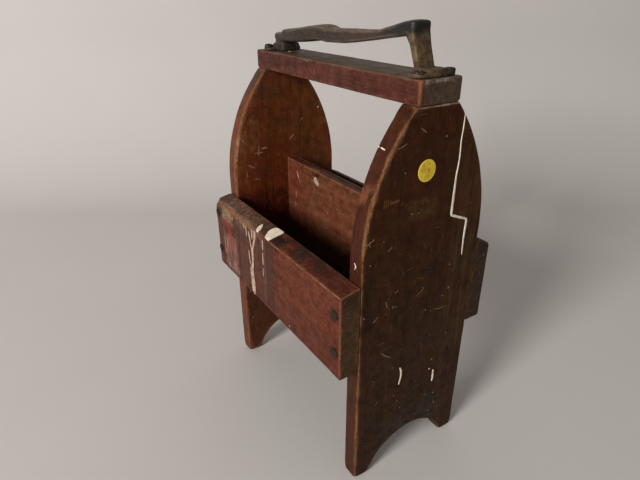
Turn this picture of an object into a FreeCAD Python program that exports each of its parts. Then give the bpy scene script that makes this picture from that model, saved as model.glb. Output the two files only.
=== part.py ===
import FreeCAD, Part
import os

# Wooden shoe-shine stand: two arched end boards carry two side boards, a floor, a divider
# and a top rail.  A cast-iron foot rest, which is also the carrying handle, is screwed to
# the rail.  Millimetres; +Z up, +X along the rail, the floor is z = 0, the origin is at
# the middle of the footprint.

doc = FreeCAD.newDocument("ShoeShineStand")

# ---------------------------------------------------------------- driving dimensions
sheet = doc.addObject("Spreadsheet::Sheet", "Dims")
next_row = 1


def dim(name, value):
    """Put one number in the sheet under its alias."""
    global next_row
    cell = "B%d" % next_row
    sheet.set("A%d" % next_row, name)
    sheet.set(cell, repr(value))
    sheet.setAlias(cell, name)
    next_row += 1


DIMENSIONS = {
    "box_half_length": 139.0,       # outer faces of the end boards
    "end_thick": 19.0,
    "end_half_width": 72.5,
    "end_height": 395.0,
    "arch_radius": 186.5,           # from the straight sides to the flat top
    "arch_half_flat": 23.0,
    "foot_arc_radius": 56.5,        # cut-out that leaves the two feet
    "foot_arc_rise": 41.0,
    "side_thick": 22.0,
    "front_bottom": 151.0,
    "front_top_inner": 246.0,
    "front_top_outer": 241.5,
    "back_bottom": 153.0,
    "back_top_inner": 253.5,
    "back_top_outer": 243.0,
    "floor_bottom": 153.0,
    "floor_thick": 19.0,
    "divider_front": 1.8,
    "divider_thick": 13.0,
    "divider_top": 285.0,
    "rail_half_length": 140.5,
    "rail_half_width": 23.5,
    "rail_thick": 21.0,
    "rail_round": 2.5,
    "nail_radius": 1.6,
    "nail_head_radius": 4.2,
    "nail_head_rise": 1.5,
    "nail_head_sink": 1.0,
    "nail_length": 50.0,
    "brad_radius": 1.3,
    "brad_head_radius": 2.0,
    "brad_head_sink": 1.2,
    "brad_length": 45.0,
    "rail_nail_length": 55.0,
    "screw_radius": 2.2,
    "screw_head_radius": 4.9,
    "screw_head_rise": 3.6,
    "screw_length": 19.0,
    "flange_thick": 3.6,
    "flange_half_width": 23.0,
    "flange_shoulder": 16.0,
    "near_flange_x": 127.5,
    "near_flange_half": 9.5,
    "near_screw_y": 16.6,
    "far_flange_x": -118.5,
    "far_flange_half": 8.5,
    "far_screw_y": 17.6,
    "boss_thick": 6.6,
    "label_radius": 10.2,
    "label_thick": 0.4,
    "label_y": -6.7,
    "label_z": 340.4,
}
for dim_name, dim_value in DIMENSIONS.items():
    dim(dim_name, dim_value)

# Foot rest sections from heel to toe: x, half width, underside z, top z (edge of the top).
SOLE_STATIONS = [
    (-126.0, 3.0, 428.2, 432.6),
    (-123.5, 7.2, 427.6, 433.2),
    (-117.0, 10.0, 427.0, 434.6),
    (-99.5, 11.2, 426.4, 436.2),
    (-98.0, 12.3, 426.4, 438.9),
    (-76.0, 12.8, 427.0, 440.9),
    (-53.0, 13.2, 428.9, 443.6),
    (-29.0, 13.0, 432.4, 446.4),
    (-22.0, 12.5, 432.4, 445.9),
    (-12.0, 11.8, 431.5, 443.7),
    (16.0, 10.8, 432.4, 444.7),
    (43.0, 10.0, 436.0, 445.3),
    (65.0, 9.8, 439.2, 446.2),
    (73.0, 10.2, 440.3, 448.4),
    (86.0, 11.0, 442.2, 451.4),
    (100.0, 11.4, 443.6, 454.9),
    (107.0, 11.2, 444.6, 456.0),
    (111.5, 10.2, 446.0, 456.0),
    (113.5, 8.4, 447.4, 455.4),
]
SOLE_CROWN = 0.9
for number, (st_x, st_w, st_low, st_top) in enumerate(SOLE_STATIONS):
    dim("sole%02d_x" % number, st_x)
    dim("sole%02d_half" % number, st_w)
    dim("sole%02d_low" % number, st_low)
    dim("sole%02d_top" % number, st_top)
dim("sole_crown", SOLE_CROWN)

# Legs of the casting: z, low x, high x, half width, from the rail upward.
NEAR_LEG = [
    (416.0, 116.2, 124.0, 9.6),
    (423.5, 114.4, 121.0, 9.2),
    (438.5, 108.2, 115.8, 9.4),
    (449.0, 99.5, 112.8, 10.4),
]
FAR_LEG = [
    (416.0, -124.5, -99.5, 11.0),
    (423.4, -124.0, -100.0, 10.6),
    (424.0, -120.5, -100.0, 10.0),
    (429.5, -119.5, -99.5, 9.6),
]
LEGS = (("near_leg", NEAR_LEG), ("far_leg", FAR_LEG))
for leg_name, leg_stations in LEGS:
    for number, (st_z, st_a, st_b, st_w) in enumerate(leg_stations):
        dim("%s%d_z" % (leg_name, number), st_z)
        dim("%s%d_from" % (leg_name, number), st_a)
        dim("%s%d_to" % (leg_name, number), st_b)
        dim("%s%d_half" % (leg_name, number), st_w)

# Nail places on the side boards (x, z) and end boards (y, z), and on the rail (x, y).
FRONT_NAILS = [(129.5, 220.0), (130.5, 179.0), (-133.5, 225.0), (-134.0, 174.0)]
BACK_NAILS = [(129.5, 226.0), (130.0, 178.0), (-130.0, 226.0), (-129.5, 178.0)]
FLOOR_BRAD_Y = (-38.0, 44.0)
DIVIDER_BRAD_Z = (200.0, 255.0)
RAIL_NAIL_Y = (-8.0, 8.0)
doc.recompute()


# ---------------------------------------------------------------- helpers
def value_of(expression):
    """Number a Dims expression gives, so the sketch starts where it will be solved."""
    doc.recompute()
    return float(sheet.evalExpression(expression))


def bound(expression):
    """Prefix every alias in an expression with the sheet's name."""
    out, word = "", ""
    for char in expression + " ":
        if char.isalnum() or char == "_" or (char == "." and word[:1].isdigit()):
            word += char
            continue
        if word:
            is_alias = word[0].isalpha() and word not in ("sqrt",)
            out += ("Dims." + word) if is_alias else word
            word = ""
        out += char
    return out.strip()


def new_body(name):
    body = doc.addObject("PartDesign::Body", name)
    body.Label = name
    return body


def origin_plane(body, role):
    for feature in body.Origin.OriginFeatures:
        if feature.Role == role:
            return feature
    raise RuntimeError("no plane " + role)


def new_sketch(body, name, role, offset=None):
    """Sketch on an origin plane, moved along the plane's normal by an expression."""
    sketch = body.newObject("Sketcher::SketchObject", name)
    sketch.AttachmentSupport = [(origin_plane(body, role), "")]
    sketch.MapMode = "FlatFace"
    if offset is not None:
        sketch.setExpression("AttachmentOffset.Base.z", bound(offset))
    return sketch


def profile(sketch, corners, arcs=()):
    """Closed outline through corners given as (x expression, y expression).

    arcs: {edge number: (radius expression, centre x, centre y, counter-clockwise)}
    """
    arcs = dict(arcs)
    points = [(value_of(bound(cx)), value_of(bound(cy))) for cx, cy in corners]
    count = len(points)
    ends = []
    for i in range(count):
        a, b = points[i], points[(i + 1) % count]
        va, vb = FreeCAD.Vector(a[0], a[1], 0), FreeCAD.Vector(b[0], b[1], 0)
        if i in arcs:
            radius, cx, cy, ccw = arcs[i]
            centre = FreeCAD.Vector(cx, cy, 0)
            circle = Part.Circle(centre, FreeCAD.Vector(0, 0, 1), (va - centre).Length)
            first, second = (va, vb) if ccw else (vb, va)
            start, end = circle.parameter(first), circle.parameter(second)
            if end < start:
                end += 6.283185307179586
            geo = sketch.addGeometry(Part.ArcOfCircle(circle, start, end), False)
            ends.append((geo, 1, 2) if ccw else (geo, 2, 1))
            sketch.setExpression("Constraints[%d]" % sketch.addConstraint(
                Sketcher.Constraint("Radius", geo, circle.Radius)), bound(radius))
        else:
            geo = sketch.addGeometry(Part.LineSegment(va, vb), False)
            ends.append((geo, 1, 2))
    for i in range(count):
        here, after = ends[i], ends[(i + 1) % count]
        sketch.addConstraint(Sketcher.Constraint("Coincident", here[0], here[2],
                                                 after[0], after[1]))
    for i, (cx, cy) in enumerate(corners):
        geo, first = ends[i][0], ends[i][1]
        for kind, expression, number in (("DistanceX", cx, points[i][0]),
                                         ("DistanceY", cy, points[i][1])):
            index = sketch.addConstraint(Sketcher.Constraint(kind, -1, 1, geo, first, number))
            sketch.setExpression("Constraints[%d]" % index, bound(expression))
    return sketch


def circles(sketch, centres, radius):
    """Full circles at fixed centres, all of the radius an expression gives."""
    start = value_of(bound(radius))
    for cx, cy in centres:
        geo = sketch.addGeometry(Part.Circle(FreeCAD.Vector(cx, cy, 0),
                                             FreeCAD.Vector(0, 0, 1), start), False)
        index = sketch.addConstraint(Sketcher.Constraint("Radius", geo, start))
        sketch.setExpression("Constraints[%d]" % index, bound(radius))
        sketch.addConstraint(Sketcher.Constraint("DistanceX", -1, 1, geo, 3, cx))
        sketch.addConstraint(Sketcher.Constraint("DistanceY", -1, 1, geo, 3, cy))
    return sketch


def pad(body, name, sketch, length, reverse=False, midplane=False):
    feature = body.newObject("PartDesign::Pad", name)
    feature.Profile = sketch
    feature.setExpression("Length", bound(length))
    feature.Reversed = reverse
    feature.Midplane = midplane
    sketch.Visibility = False
    doc.recompute()
    return feature


def pocket(body, name, sketch, length, reverse=False):
    """Pocket of a set depth; stops if it removed nothing."""
    before = body.Shape.Volume
    feature = body.newObject("PartDesign::Pocket", name)
    feature.Profile = sketch
    feature.setExpression("Length", bound(length))
    feature.Reversed = reverse
    sketch.Visibility = False
    doc.recompute()
    if body.Shape.Volume > before - 1e-6:
        raise RuntimeError("pocket %s removed nothing" % name)
    return feature


import Sketcher  # noqa: E402  (a FreeCAD module, available once FreeCAD is imported)

SUBPARTS = []


def done(body):
    SUBPARTS.append(body)
    return body


# ---------------------------------------------------------------- end boards
SHOULDER_Z = ("end_height - sqrt(arch_radius * arch_radius - (arch_half_flat - end_half_width"
              " + arch_radius) * (arch_half_flat - end_half_width + arch_radius))")
FOOT_HALF = ("sqrt(foot_arc_radius * foot_arc_radius - (foot_arc_radius - foot_arc_rise)"
             " * (foot_arc_radius - foot_arc_rise))")
shoulder = value_of(bound(SHOULDER_Z))
arch_centre = value_of(bound("arch_radius - end_half_width"))
foot_centre = value_of(bound("foot_arc_rise - foot_arc_radius"))

END_CORNERS = [
    (FOOT_HALF, "0"),
    ("end_half_width", "0"),
    ("end_half_width", SHOULDER_Z),
    ("arch_half_flat", "end_height"),
    ("-arch_half_flat", "end_height"),
    ("-end_half_width", SHOULDER_Z),
    ("-end_half_width", "0"),
    ("-(%s)" % FOOT_HALF, "0"),
]
END_ARCS = {
    2: ("arch_radius", -arch_centre, shoulder, True),
    4: ("arch_radius", arch_centre, shoulder, True),
    7: ("foot_arc_radius", 0.0, foot_centre, False),
}


def end_board(name, side):
    """Arched end board; side is +1 for the near one and -1 for the far one."""
    body = new_body(name)
    inner = "box_half_length - end_thick"
    offset = inner if side > 0 else "-(box_half_length)"
    outline = profile(new_sketch(body, name + "_outline", "YZ_Plane", offset),
                      END_CORNERS, END_ARCS)
    pad(body, name + "_board", outline, "end_thick")
    # Holes the side-board nails run into, drilled from the board's front and back edges.
    for tag, nails, face, reverse in (("front", FRONT_NAILS, "end_half_width", True),
                                      ("back", BACK_NAILS, "-end_half_width", False)):
        places = [(x, z) for x, z in nails if x * side > 0]
        holes = circles(new_sketch(body, "%s_%s_holes" % (name, tag), "XZ_Plane", face),
                        places, "nail_radius")
        pocket(body, "%s_%s_bores" % (name, tag), holes,
               "nail_length - side_thick", not reverse)
    # Holes for the brads into the floor and the divider, with a seat for each head.
    face = "box_half_length" if side > 0 else "-box_half_length"
    middle_floor = value_of(bound("floor_bottom + floor_thick / 2"))
    middle_divider = value_of(bound("divider_front + divider_thick / 2"))
    places = [(y, middle_floor) for y in FLOOR_BRAD_Y]
    places += [(middle_divider, z) for z in DIVIDER_BRAD_Z]
    through = circles(new_sketch(body, name + "_brad_holes", "YZ_Plane", face),
                      places, "brad_radius")
    pocket(body, name + "_brad_bores", through, "end_thick", side < 0)
    seats = circles(new_sketch(body, name + "_brad_seats", "YZ_Plane", face),
                    places, "brad_head_radius")
    pocket(body, name + "_brad_counterbores", seats, "brad_head_sink", side < 0)
    # Holes for the rail nails, down into the flat top.
    top = circles(new_sketch(body, name + "_rail_holes", "XY_Plane", "end_height"),
                  [(side * 129.5, y) for y in RAIL_NAIL_Y], "nail_radius")
    pocket(body, name + "_rail_bores", top, "rail_nail_length - rail_thick")
    return done(body)


end_board("near_end_board", 1)
end_board("far_end_board", -1)


# ---------------------------------------------------------------- side boards
def side_board(name, face, tag, nails):
    """Board nailed on the end boards' edges; face is -1 for the front, +1 for the back."""
    body = new_body(name)
    inner, outer = "end_half_width", "end_half_width + side_thick"
    if face < 0:
        inner, outer = "-end_half_width", "-(end_half_width + side_thick)"
    corners = [(outer, tag + "_bottom"), (inner, tag + "_bottom"),
               (inner, tag + "_top_inner"), (outer, tag + "_top_outer")]
    outline = profile(new_sketch(body, name + "_section", "YZ_Plane", "-box_half_length"),
                      corners)
    pad(body, name + "_board", outline, "2 * box_half_length")
    outside = "end_half_width + side_thick" if face < 0 else "-(end_half_width + side_thick)"
    holes = circles(new_sketch(body, name + "_holes", "XZ_Plane", outside), nails,
                    "nail_radius")
    pocket(body, name + "_bores", holes, "side_thick", face > 0)
    seats = circles(new_sketch(body, name + "_seats", "XZ_Plane", outside), nails,
                    "nail_head_radius")
    pocket(body, name + "_counterbores", seats, "nail_head_sink", face > 0)
    return done(body)


side_board("front_side_board", -1, "front", FRONT_NAILS)
side_board("back_side_board", 1, "back", BACK_NAILS)


# ---------------------------------------------------------------- floor and divider
def inner_board(name, y_from, y_to, z_from, z_to, brads):
    """Board between the two end boards; brads run into both of its ends."""
    body = new_body(name)
    corners = [(y_from, z_from), (y_to, z_from), (y_to, z_to), (y_from, z_to)]
    outline = profile(new_sketch(body, name + "_section", "YZ_Plane",
                                 "end_thick - box_half_length"), corners)
    pad(body, name + "_board", outline, "2 * (box_half_length - end_thick)")
    for tag, offset, reverse in (("near", "box_half_length - end_thick", False),
                                 ("far", "end_thick - box_half_length", True)):
        holes = circles(new_sketch(body, "%s_%s_holes" % (name, tag), "YZ_Plane", offset),
                        brads, "brad_radius")
        pocket(body, "%s_%s_bores" % (name, tag), holes, "brad_length - end_thick", reverse)
    return done(body)


floor_middle = value_of(bound("floor_bottom + floor_thick / 2"))
divider_middle = value_of(bound("divider_front + divider_thick / 2"))
inner_board("floor_board", "-end_half_width", "end_half_width", "floor_bottom",
            "floor_bottom + floor_thick", [(y, floor_middle) for y in FLOOR_BRAD_Y])
inner_board("divider_board", "divider_front", "divider_front + divider_thick",
            "floor_bottom + floor_thick", "divider_top",
            [(divider_middle, z) for z in DIVIDER_BRAD_Z])

# ---------------------------------------------------------------- top rail
SCREWS = [(130.5, "near_screw_y"), (-119.5, "far_screw_y")]
SCREW_PLACES = []
for screw_x, screw_y in SCREWS:
    reach = value_of(bound(screw_y))
    SCREW_PLACES += [(screw_x, -reach), (screw_x, reach)]
RAIL_NAIL_PLACES = [(side * 129.5, y) for side in (-1, 1) for y in RAIL_NAIL_Y]

rail = new_body("top_rail")
rail_outline = profile(new_sketch(rail, "top_rail_outline", "XY_Plane", "end_height"),
                       [("-rail_half_length", "-rail_half_width"),
                        ("rail_half_length", "-rail_half_width"),
                        ("rail_half_length", "rail_half_width"),
                        ("-rail_half_length", "rail_half_width")])
pad(rail, "top_rail_board", rail_outline, "rail_thick")
rail_top = value_of(bound("end_height + rail_thick"))
round_edges = []
for edge_number, edge in enumerate(rail.Tip.Shape.Edges, 1):
    if all(abs(v.Z - rail_top) < 1e-6 for v in edge.Vertexes):
        round_edges.append("Edge%d" % edge_number)
rounding = rail.newObject("PartDesign::Fillet", "top_rail_rounding")
rounding.Base = (doc.getObject("top_rail_board"), round_edges)
rounding.setExpression("Radius", bound("rail_round"))
doc.recompute()
rail_nail_holes = circles(new_sketch(rail, "top_rail_nail_holes", "XY_Plane",
                                     "end_height + rail_thick"), RAIL_NAIL_PLACES,
                          "nail_radius")
pocket(rail, "top_rail_nail_bores", rail_nail_holes, "rail_thick")
rail_nail_seats = circles(new_sketch(rail, "top_rail_nail_seats", "XY_Plane",
                                     "end_height + rail_thick"), RAIL_NAIL_PLACES,
                          "nail_head_radius")
pocket(rail, "top_rail_nail_counterbores", rail_nail_seats, "nail_head_sink")
rail_screw_holes = circles(new_sketch(rail, "top_rail_screw_holes", "XY_Plane",
                                      "end_height + rail_thick"), SCREW_PLACES,
                           "screw_radius")
pocket(rail, "top_rail_screw_bores", rail_screw_holes, "screw_length - flange_thick")
done(rail)


# ---------------------------------------------------------------- cast-iron foot rest
def loft(body, name, sections):
    feature = body.newObject("PartDesign::AdditiveLoft", name)
    feature.Profile = sections[0]
    feature.Sections = sections[1:]
    feature.Ruled = True
    for section in sections:
        section.Visibility = False
    doc.recompute()
    return feature


def crowned(sketch, half, low, top):
    """Section with straight sides and underside and an arched top."""
    w, z0, z1 = (value_of(bound(e)) for e in (half, low, top))
    rise = SOLE_CROWN
    radius = (w * w + rise * rise) / (2 * rise)
    radius_text = "(%s * %s + sole_crown * sole_crown) / (2 * sole_crown)" % (half, half)
    return profile(sketch, [("-" + half, low), (half, low), (half, top), ("-" + half, top)],
                   {2: (radius_text, 0.0, z1 + rise - radius, True)})


foot_rest = new_body("foot_rest")
sole_sections = []
for number in range(len(SOLE_STATIONS)):
    tag = "sole%02d" % number
    station = new_sketch(foot_rest, tag + "_section", "YZ_Plane", tag + "_x")
    sole_sections.append(crowned(station, tag + "_half", tag + "_low", tag + "_top"))
loft(foot_rest, "foot_rest_sole", sole_sections)
for leg_name, leg_stations in LEGS:
    leg_sections = []
    for number in range(len(leg_stations)):
        tag = "%s%d" % (leg_name, number)
        station = new_sketch(foot_rest, tag + "_section", "XY_Plane", tag + "_z")
        leg_sections.append(profile(station, [(tag + "_from", "-%s_half" % tag),
                                              (tag + "_to", "-%s_half" % tag),
                                              (tag + "_to", tag + "_half"),
                                              (tag + "_from", tag + "_half")]))
    loft(foot_rest, leg_name, leg_sections)
for tag in ("near", "far"):
    low_x = "%s_flange_x - %s_flange_half" % (tag, tag)
    high_x = "%s_flange_x + %s_flange_half" % (tag, tag)
    half, length, shoulder = (value_of(bound(e)) for e in (
        tag + "_flange_half", "flange_half_width", "flange_shoulder"))
    bulge = length - shoulder
    radius = (half * half + bulge * bulge) / (2 * bulge)
    radius_text = ("(%s_flange_half * %s_flange_half + (flange_half_width - flange_shoulder)"
                   " * (flange_half_width - flange_shoulder))"
                   " / (2 * (flange_half_width - flange_shoulder))" % (tag, tag))
    middle_x = value_of(bound(tag + "_flange_x"))
    flange = profile(new_sketch(foot_rest, tag + "_flange_outline", "XY_Plane",
                                "end_height + rail_thick"),
                     [(low_x, "-flange_shoulder"), (high_x, "-flange_shoulder"),
                      (high_x, "flange_shoulder"), (low_x, "flange_shoulder")],
                     {0: (radius_text, middle_x, radius - length, True),
                      2: (radius_text, middle_x, length - radius, True)})
    pad(foot_rest, tag + "_flange", flange, "flange_thick")
    boss = profile(new_sketch(foot_rest, tag + "_boss_outline", "XY_Plane",
                              "end_height + rail_thick"),
                   [(low_x, "-(%s_screw_y - screw_head_radius - 0.8)" % tag),
                    (high_x, "-(%s_screw_y - screw_head_radius - 0.8)" % tag),
                    (high_x, "%s_screw_y - screw_head_radius - 0.8" % tag),
                    (low_x, "%s_screw_y - screw_head_radius - 0.8" % tag)])
    pad(foot_rest, tag + "_boss", boss, "boss_thick")
flange_holes = circles(new_sketch(foot_rest, "foot_rest_screw_holes", "XY_Plane",
                                  "end_height + rail_thick + flange_thick"),
                       SCREW_PLACES, "screw_radius")
pocket(foot_rest, "foot_rest_screw_bores", flange_holes, "flange_thick")
done(foot_rest)


# ---------------------------------------------------------------- fasteners
def pin(name, head_radius, head_rise, head_sink, shank_radius, length):
    """Turned fastener about +Z, head up, the surface it is driven into at z = 0.

    A domed head where head_rise is positive, otherwise a flat head sunk flush.
    """
    body = new_body(name + "_master")
    sketch = new_sketch(body, name + "_half_section", "XZ_Plane")
    tip = "-(%s)" % length
    taper = "-(%s - 2 * %s)" % (length, shank_radius)
    corners = [("0", tip), (shank_radius, taper), (shank_radius, "-(%s)" % head_sink),
               (head_radius, "-(%s)" % head_sink)]
    arcs = {}
    if head_rise != "0":
        rim, rise = value_of(bound(head_radius)), value_of(bound(head_rise))
        radius = (rim * rim + rise * rise) / (2 * rise)
        text = "(%s * %s + %s * %s) / (2 * %s)" % (head_radius, head_radius, head_rise,
                                                  head_rise, head_rise)
        if head_sink != "0":
            corners.append((head_radius, "0"))
        arcs[len(corners) - 1] = (text, 0.0, rise - radius, True)
        corners.append(("0", head_rise))
    else:
        corners += [(head_radius, "0"), ("0", "0")]
    profile(sketch, corners, arcs)
    turn = body.newObject("PartDesign::Revolution", name + "_turned")
    turn.Profile = sketch
    turn.ReferenceAxis = (sketch, ["V_Axis"])
    turn.Angle = 360.0
    sketch.Visibility = False
    doc.recompute()
    return body


def fastener_group(name, master, placements):
    """One node holding the same fastener at several places, as separate solids."""
    copies = []
    for number, placement in enumerate(placements):
        copy = doc.addObject("App::Link", "%s_%d" % (name, number + 1))
        copy.LinkedObject = master
        copy.Placement = placement
        copies.append(copy)
    doc.recompute()
    group = doc.addObject("Part::Compound", name)
    group.Label = name
    group.Links = copies
    doc.recompute()
    return done(group)


UP = FreeCAD.Rotation()
TO_FRONT = FreeCAD.Rotation(FreeCAD.Vector(1, 0, 0), 90)      # +Z becomes -Y
TO_BACK = FreeCAD.Rotation(FreeCAD.Vector(1, 0, 0), -90)      # +Z becomes +Y
TO_NEAR = FreeCAD.Rotation(FreeCAD.Vector(0, 1, 0), 90)       # +Z becomes +X
TO_FAR = FreeCAD.Rotation(FreeCAD.Vector(0, 1, 0), -90)       # +Z becomes -X


def at(x, y, z, turned):
    return FreeCAD.Placement(FreeCAD.Vector(x, y, z), turned)


outside_y = value_of(bound("end_half_width + side_thick"))
outside_x = value_of(bound("box_half_length"))
side_nail = pin("side_nail", "nail_head_radius", "nail_head_rise", "nail_head_sink",
                "nail_radius", "nail_length")
rail_nail = pin("rail_nail", "nail_head_radius", "0", "nail_head_sink",
                "nail_radius", "rail_nail_length")
brad = pin("brad", "brad_head_radius", "0", "brad_head_sink", "brad_radius", "brad_length")
screw = pin("rest_screw", "screw_head_radius", "screw_head_rise", "0",
            "screw_radius", "screw_length")

fastener_group("front_board_nails", side_nail,
               [at(x, -outside_y, z, TO_FRONT) for x, z in FRONT_NAILS])
fastener_group("back_board_nails", side_nail,
               [at(x, outside_y, z, TO_BACK) for x, z in BACK_NAILS])
fastener_group("rail_nails", rail_nail,
               [at(x, y, rail_top, UP) for x, y in RAIL_NAIL_PLACES])
fastener_group("floor_nails", brad,
               [at(side * outside_x, y, floor_middle, turned)
                for side, turned in ((1, TO_NEAR), (-1, TO_FAR)) for y in FLOOR_BRAD_Y])
fastener_group("divider_nails", brad,
               [at(side * outside_x, divider_middle, z, turned)
                for side, turned in ((1, TO_NEAR), (-1, TO_FAR)) for z in DIVIDER_BRAD_Z])
flange_top = value_of(bound("end_height + rail_thick + flange_thick"))
fastener_group("foot_rest_screws", screw,
               [at(x, y, flange_top, UP) for x, y in SCREW_PLACES])

# ---------------------------------------------------------------- round paper label
label = new_body("round_label")
label_outline = new_sketch(label, "round_label_outline", "YZ_Plane", "box_half_length")
circles(label_outline, [(value_of(bound("label_y")), value_of(bound("label_z")))],
        "label_radius")
pad(label, "round_label_disc", label_outline, "label_thick")
done(label)

# ---------------------------------------------------------------- checks and export
doc.recompute()
for obj in doc.Objects:
    state = [s for s in obj.State if s in ("Invalid", "Error")]
    if state:
        raise RuntimeError("%s is %s" % (obj.Name, state))
os.makedirs("parts", exist_ok=True)
for obj in SUBPARTS:
    shape = obj.Shape
    if shape.isNull() or not shape.isValid():
        raise RuntimeError("bad shape in " + obj.Label)
    shape.exportStep("parts/%s.step" % obj.Label)
    box = shape.BoundBox
    print("%-18s solids %d  vol %9.1f  x %.1f..%.1f  y %.1f..%.1f  z %.1f..%.1f" % (
        obj.Label, len(shape.Solids), shape.Volume, box.XMin, box.XMax, box.YMin, box.YMax,
        box.ZMin, box.ZMax))
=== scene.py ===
import math
import bpy
import bmesh
import numpy as np
from mathutils import Matrix, Vector
from mathutils.bvhtree import BVHTree


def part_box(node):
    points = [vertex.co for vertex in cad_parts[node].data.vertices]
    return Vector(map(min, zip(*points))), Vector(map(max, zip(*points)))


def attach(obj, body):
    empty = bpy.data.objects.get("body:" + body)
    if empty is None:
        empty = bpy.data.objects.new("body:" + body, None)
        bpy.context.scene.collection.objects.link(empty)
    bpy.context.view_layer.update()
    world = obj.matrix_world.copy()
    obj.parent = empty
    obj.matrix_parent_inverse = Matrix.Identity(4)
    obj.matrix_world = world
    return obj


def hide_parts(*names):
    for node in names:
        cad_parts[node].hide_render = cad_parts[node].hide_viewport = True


# Visual model of the shoe-shine stand: worn boards, iron foot rest, nails, screws and paint
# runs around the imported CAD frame.  Shape tables are in millimetres, objects in metres.
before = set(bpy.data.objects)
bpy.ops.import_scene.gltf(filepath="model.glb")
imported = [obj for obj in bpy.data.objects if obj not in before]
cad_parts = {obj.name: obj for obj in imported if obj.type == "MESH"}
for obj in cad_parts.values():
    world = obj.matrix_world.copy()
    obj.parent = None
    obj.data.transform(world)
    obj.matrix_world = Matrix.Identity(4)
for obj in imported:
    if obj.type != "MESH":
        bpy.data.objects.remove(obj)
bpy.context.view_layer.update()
MM = 0.001
ROOT = "root"
# The bare-wood measure is stored 20 mm up, so that a CAD node without it shows no bare wood.
STORED_UP = 20
CHANCE = np.random.default_rng(41)

# --------------------------------------------------------------------------- noise in numpy


def hash3(ix, iy, iz, seed):
    """Repeatable pseudo-random numbers from 0 to 1 at whole-number grid points."""
    n = (ix * 73856093) ^ (iy * 19349663) ^ (iz * 83492791) ^ (seed * 2654435)
    n = (n ^ (n >> 13)) * 1274126177
    n = n ^ (n >> 16)
    return (n & 0xFFFF) / 65535.0


def value_noise(p, cell, seed):
    """Smooth noise from -1 to 1; cell is its grain in mm."""
    q = p / float(cell)
    base = np.floor(q).astype(np.int64)
    f = q - base
    f = f * f * (3 - 2 * f)
    total = np.zeros(len(p))
    for corner in np.ndindex(2, 2, 2):
        weight = np.where(corner, f, 1 - f).prod(axis=1)
        total += weight * hash3(*(base + corner).T, seed)
    return total * 2 - 1


def fractal(p, cell, seed, octaves=3):
    total = sum(value_noise(p, cell / 2 ** k, seed + 17 * k) / 2 ** k for k in range(octaves))
    return total / 1.75


def smooth(x, low, high):
    t = np.clip((x - low) / (high - low), 0, 1)
    return t * t * (3 - 2 * t)


# --------------------------------------------------------------------------- mesh helpers


def spaced(low, high, step, marks=(), fine=(0, .4, .9, 1.6, 2.5, 3.8, 5.5, 8)):
    """Grid lines from low to high: close together at both ends and at each mark."""
    values = {round(start + way * k, 4) for k in fine
              for start, way in ((low, 1), (high, -1), *((m, w) for m in marks for w in (1, -1)))}
    values = sorted(v for v in values if low <= v <= high)
    out = values[:1]
    for v in values[1:]:
        gap = v - out[-1]
        pieces = max(1, int(math.ceil(gap / step)))
        out += [out[-1] + gap * (i + 1) / pieces for i in range(pieces)]
    return np.array(out)


def lattice(nu, nv, nw):
    """Surface of an nu x nv x nw grid: (grid indices of its vertices, quads)."""
    edge = np.zeros((nu, nv, nw), bool)
    edge[[0, -1]] = edge[:, [0, -1]] = edge[:, :, [0, -1]] = True
    index = -np.ones((nu, nv, nw), int)
    index[edge] = np.arange(edge.sum())
    quads = []
    for grid, turn in ((index[:, :, -1], 1), (index[:, :, 0], -1), (index[-1], 1),
                       (index[0], -1), (index[:, -1].T, 1), (index[:, 0].T, -1)):
        corners = (grid[:-1, :-1], grid[1:, :-1], grid[1:, 1:], grid[:-1, 1:])
        quads.append(np.stack(corners[::turn], -1).reshape(-1, 4))
    return np.argwhere(edge), np.concatenate(quads)


def add_floats(mesh, name, values):
    layer = mesh.attributes.new(name, "FLOAT", "POINT")
    layer.data.foreach_set("value", np.asarray(values, np.float32))


def make_mesh(name, points, faces, **floats):
    """Smooth-shaded mesh object from points in mm, with float attributes."""
    mesh = bpy.data.meshes.new(name)
    mesh.from_pydata((np.asarray(points) * MM).tolist(), [], [list(map(int, f)) for f in faces])
    mesh.polygons.foreach_set("use_smooth", [True] * len(mesh.polygons))
    for key, values in floats.items():
        add_floats(mesh, key, values)
    mesh.update()
    obj = bpy.data.objects.new(name, mesh)
    bpy.context.scene.collection.objects.link(obj)
    return obj


def loft(rings):
    """Closed solid through rings of equal length: (points, faces)."""
    count, last = len(rings[0]), (len(rings) - 1) * len(rings[0])
    points = [p for ring in rings for p in ring]
    faces = [(a + i, a + (i + 1) % count, a + count + (i + 1) % count, a + count + i)
             for a in range(0, last, count) for i in range(count)]
    faces.append(tuple(reversed(range(count))))
    faces.append(tuple(range(last, last + count)))
    return points, faces


def joined(solids):
    """Several (points, faces) solids as one."""
    points, faces = [], []
    for more_points, more_faces in solids:
        base = len(points)
        points += more_points
        faces += [tuple(base + i for i in face) for face in more_faces]
    return points, faces


def vertex_array(mesh, name):
    """The vertices' co or normal values as rows of three."""
    values = np.empty(len(mesh.vertices) * 3, np.float32)
    mesh.vertices.foreach_get(name, values)
    return values.reshape(-1, 3).astype(float)


def place(obj, material, slot, *nodes):
    """Gives a finished piece its material and body and hides the CAD nodes it stands for; slot is
    not used.
    """
    obj.data.materials.clear()
    obj.data.materials.append(material)
    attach(obj, ROOT)
    if nodes:
        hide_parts(*nodes)
    return obj


def closed_piece(name, solids, material, slot, *nodes):
    """One placed object made of closed solids, its faces turned outward."""
    obj = make_mesh(name, *joined(solids))
    fix = bmesh.new()
    fix.from_mesh(obj.data)
    bmesh.ops.recalc_face_normals(fix, faces=fix.faces)
    fix.to_mesh(obj.data)
    fix.free()
    return place(obj, material, slot, *nodes)


# --------------------------------------------------------------------------- worn boards


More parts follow.
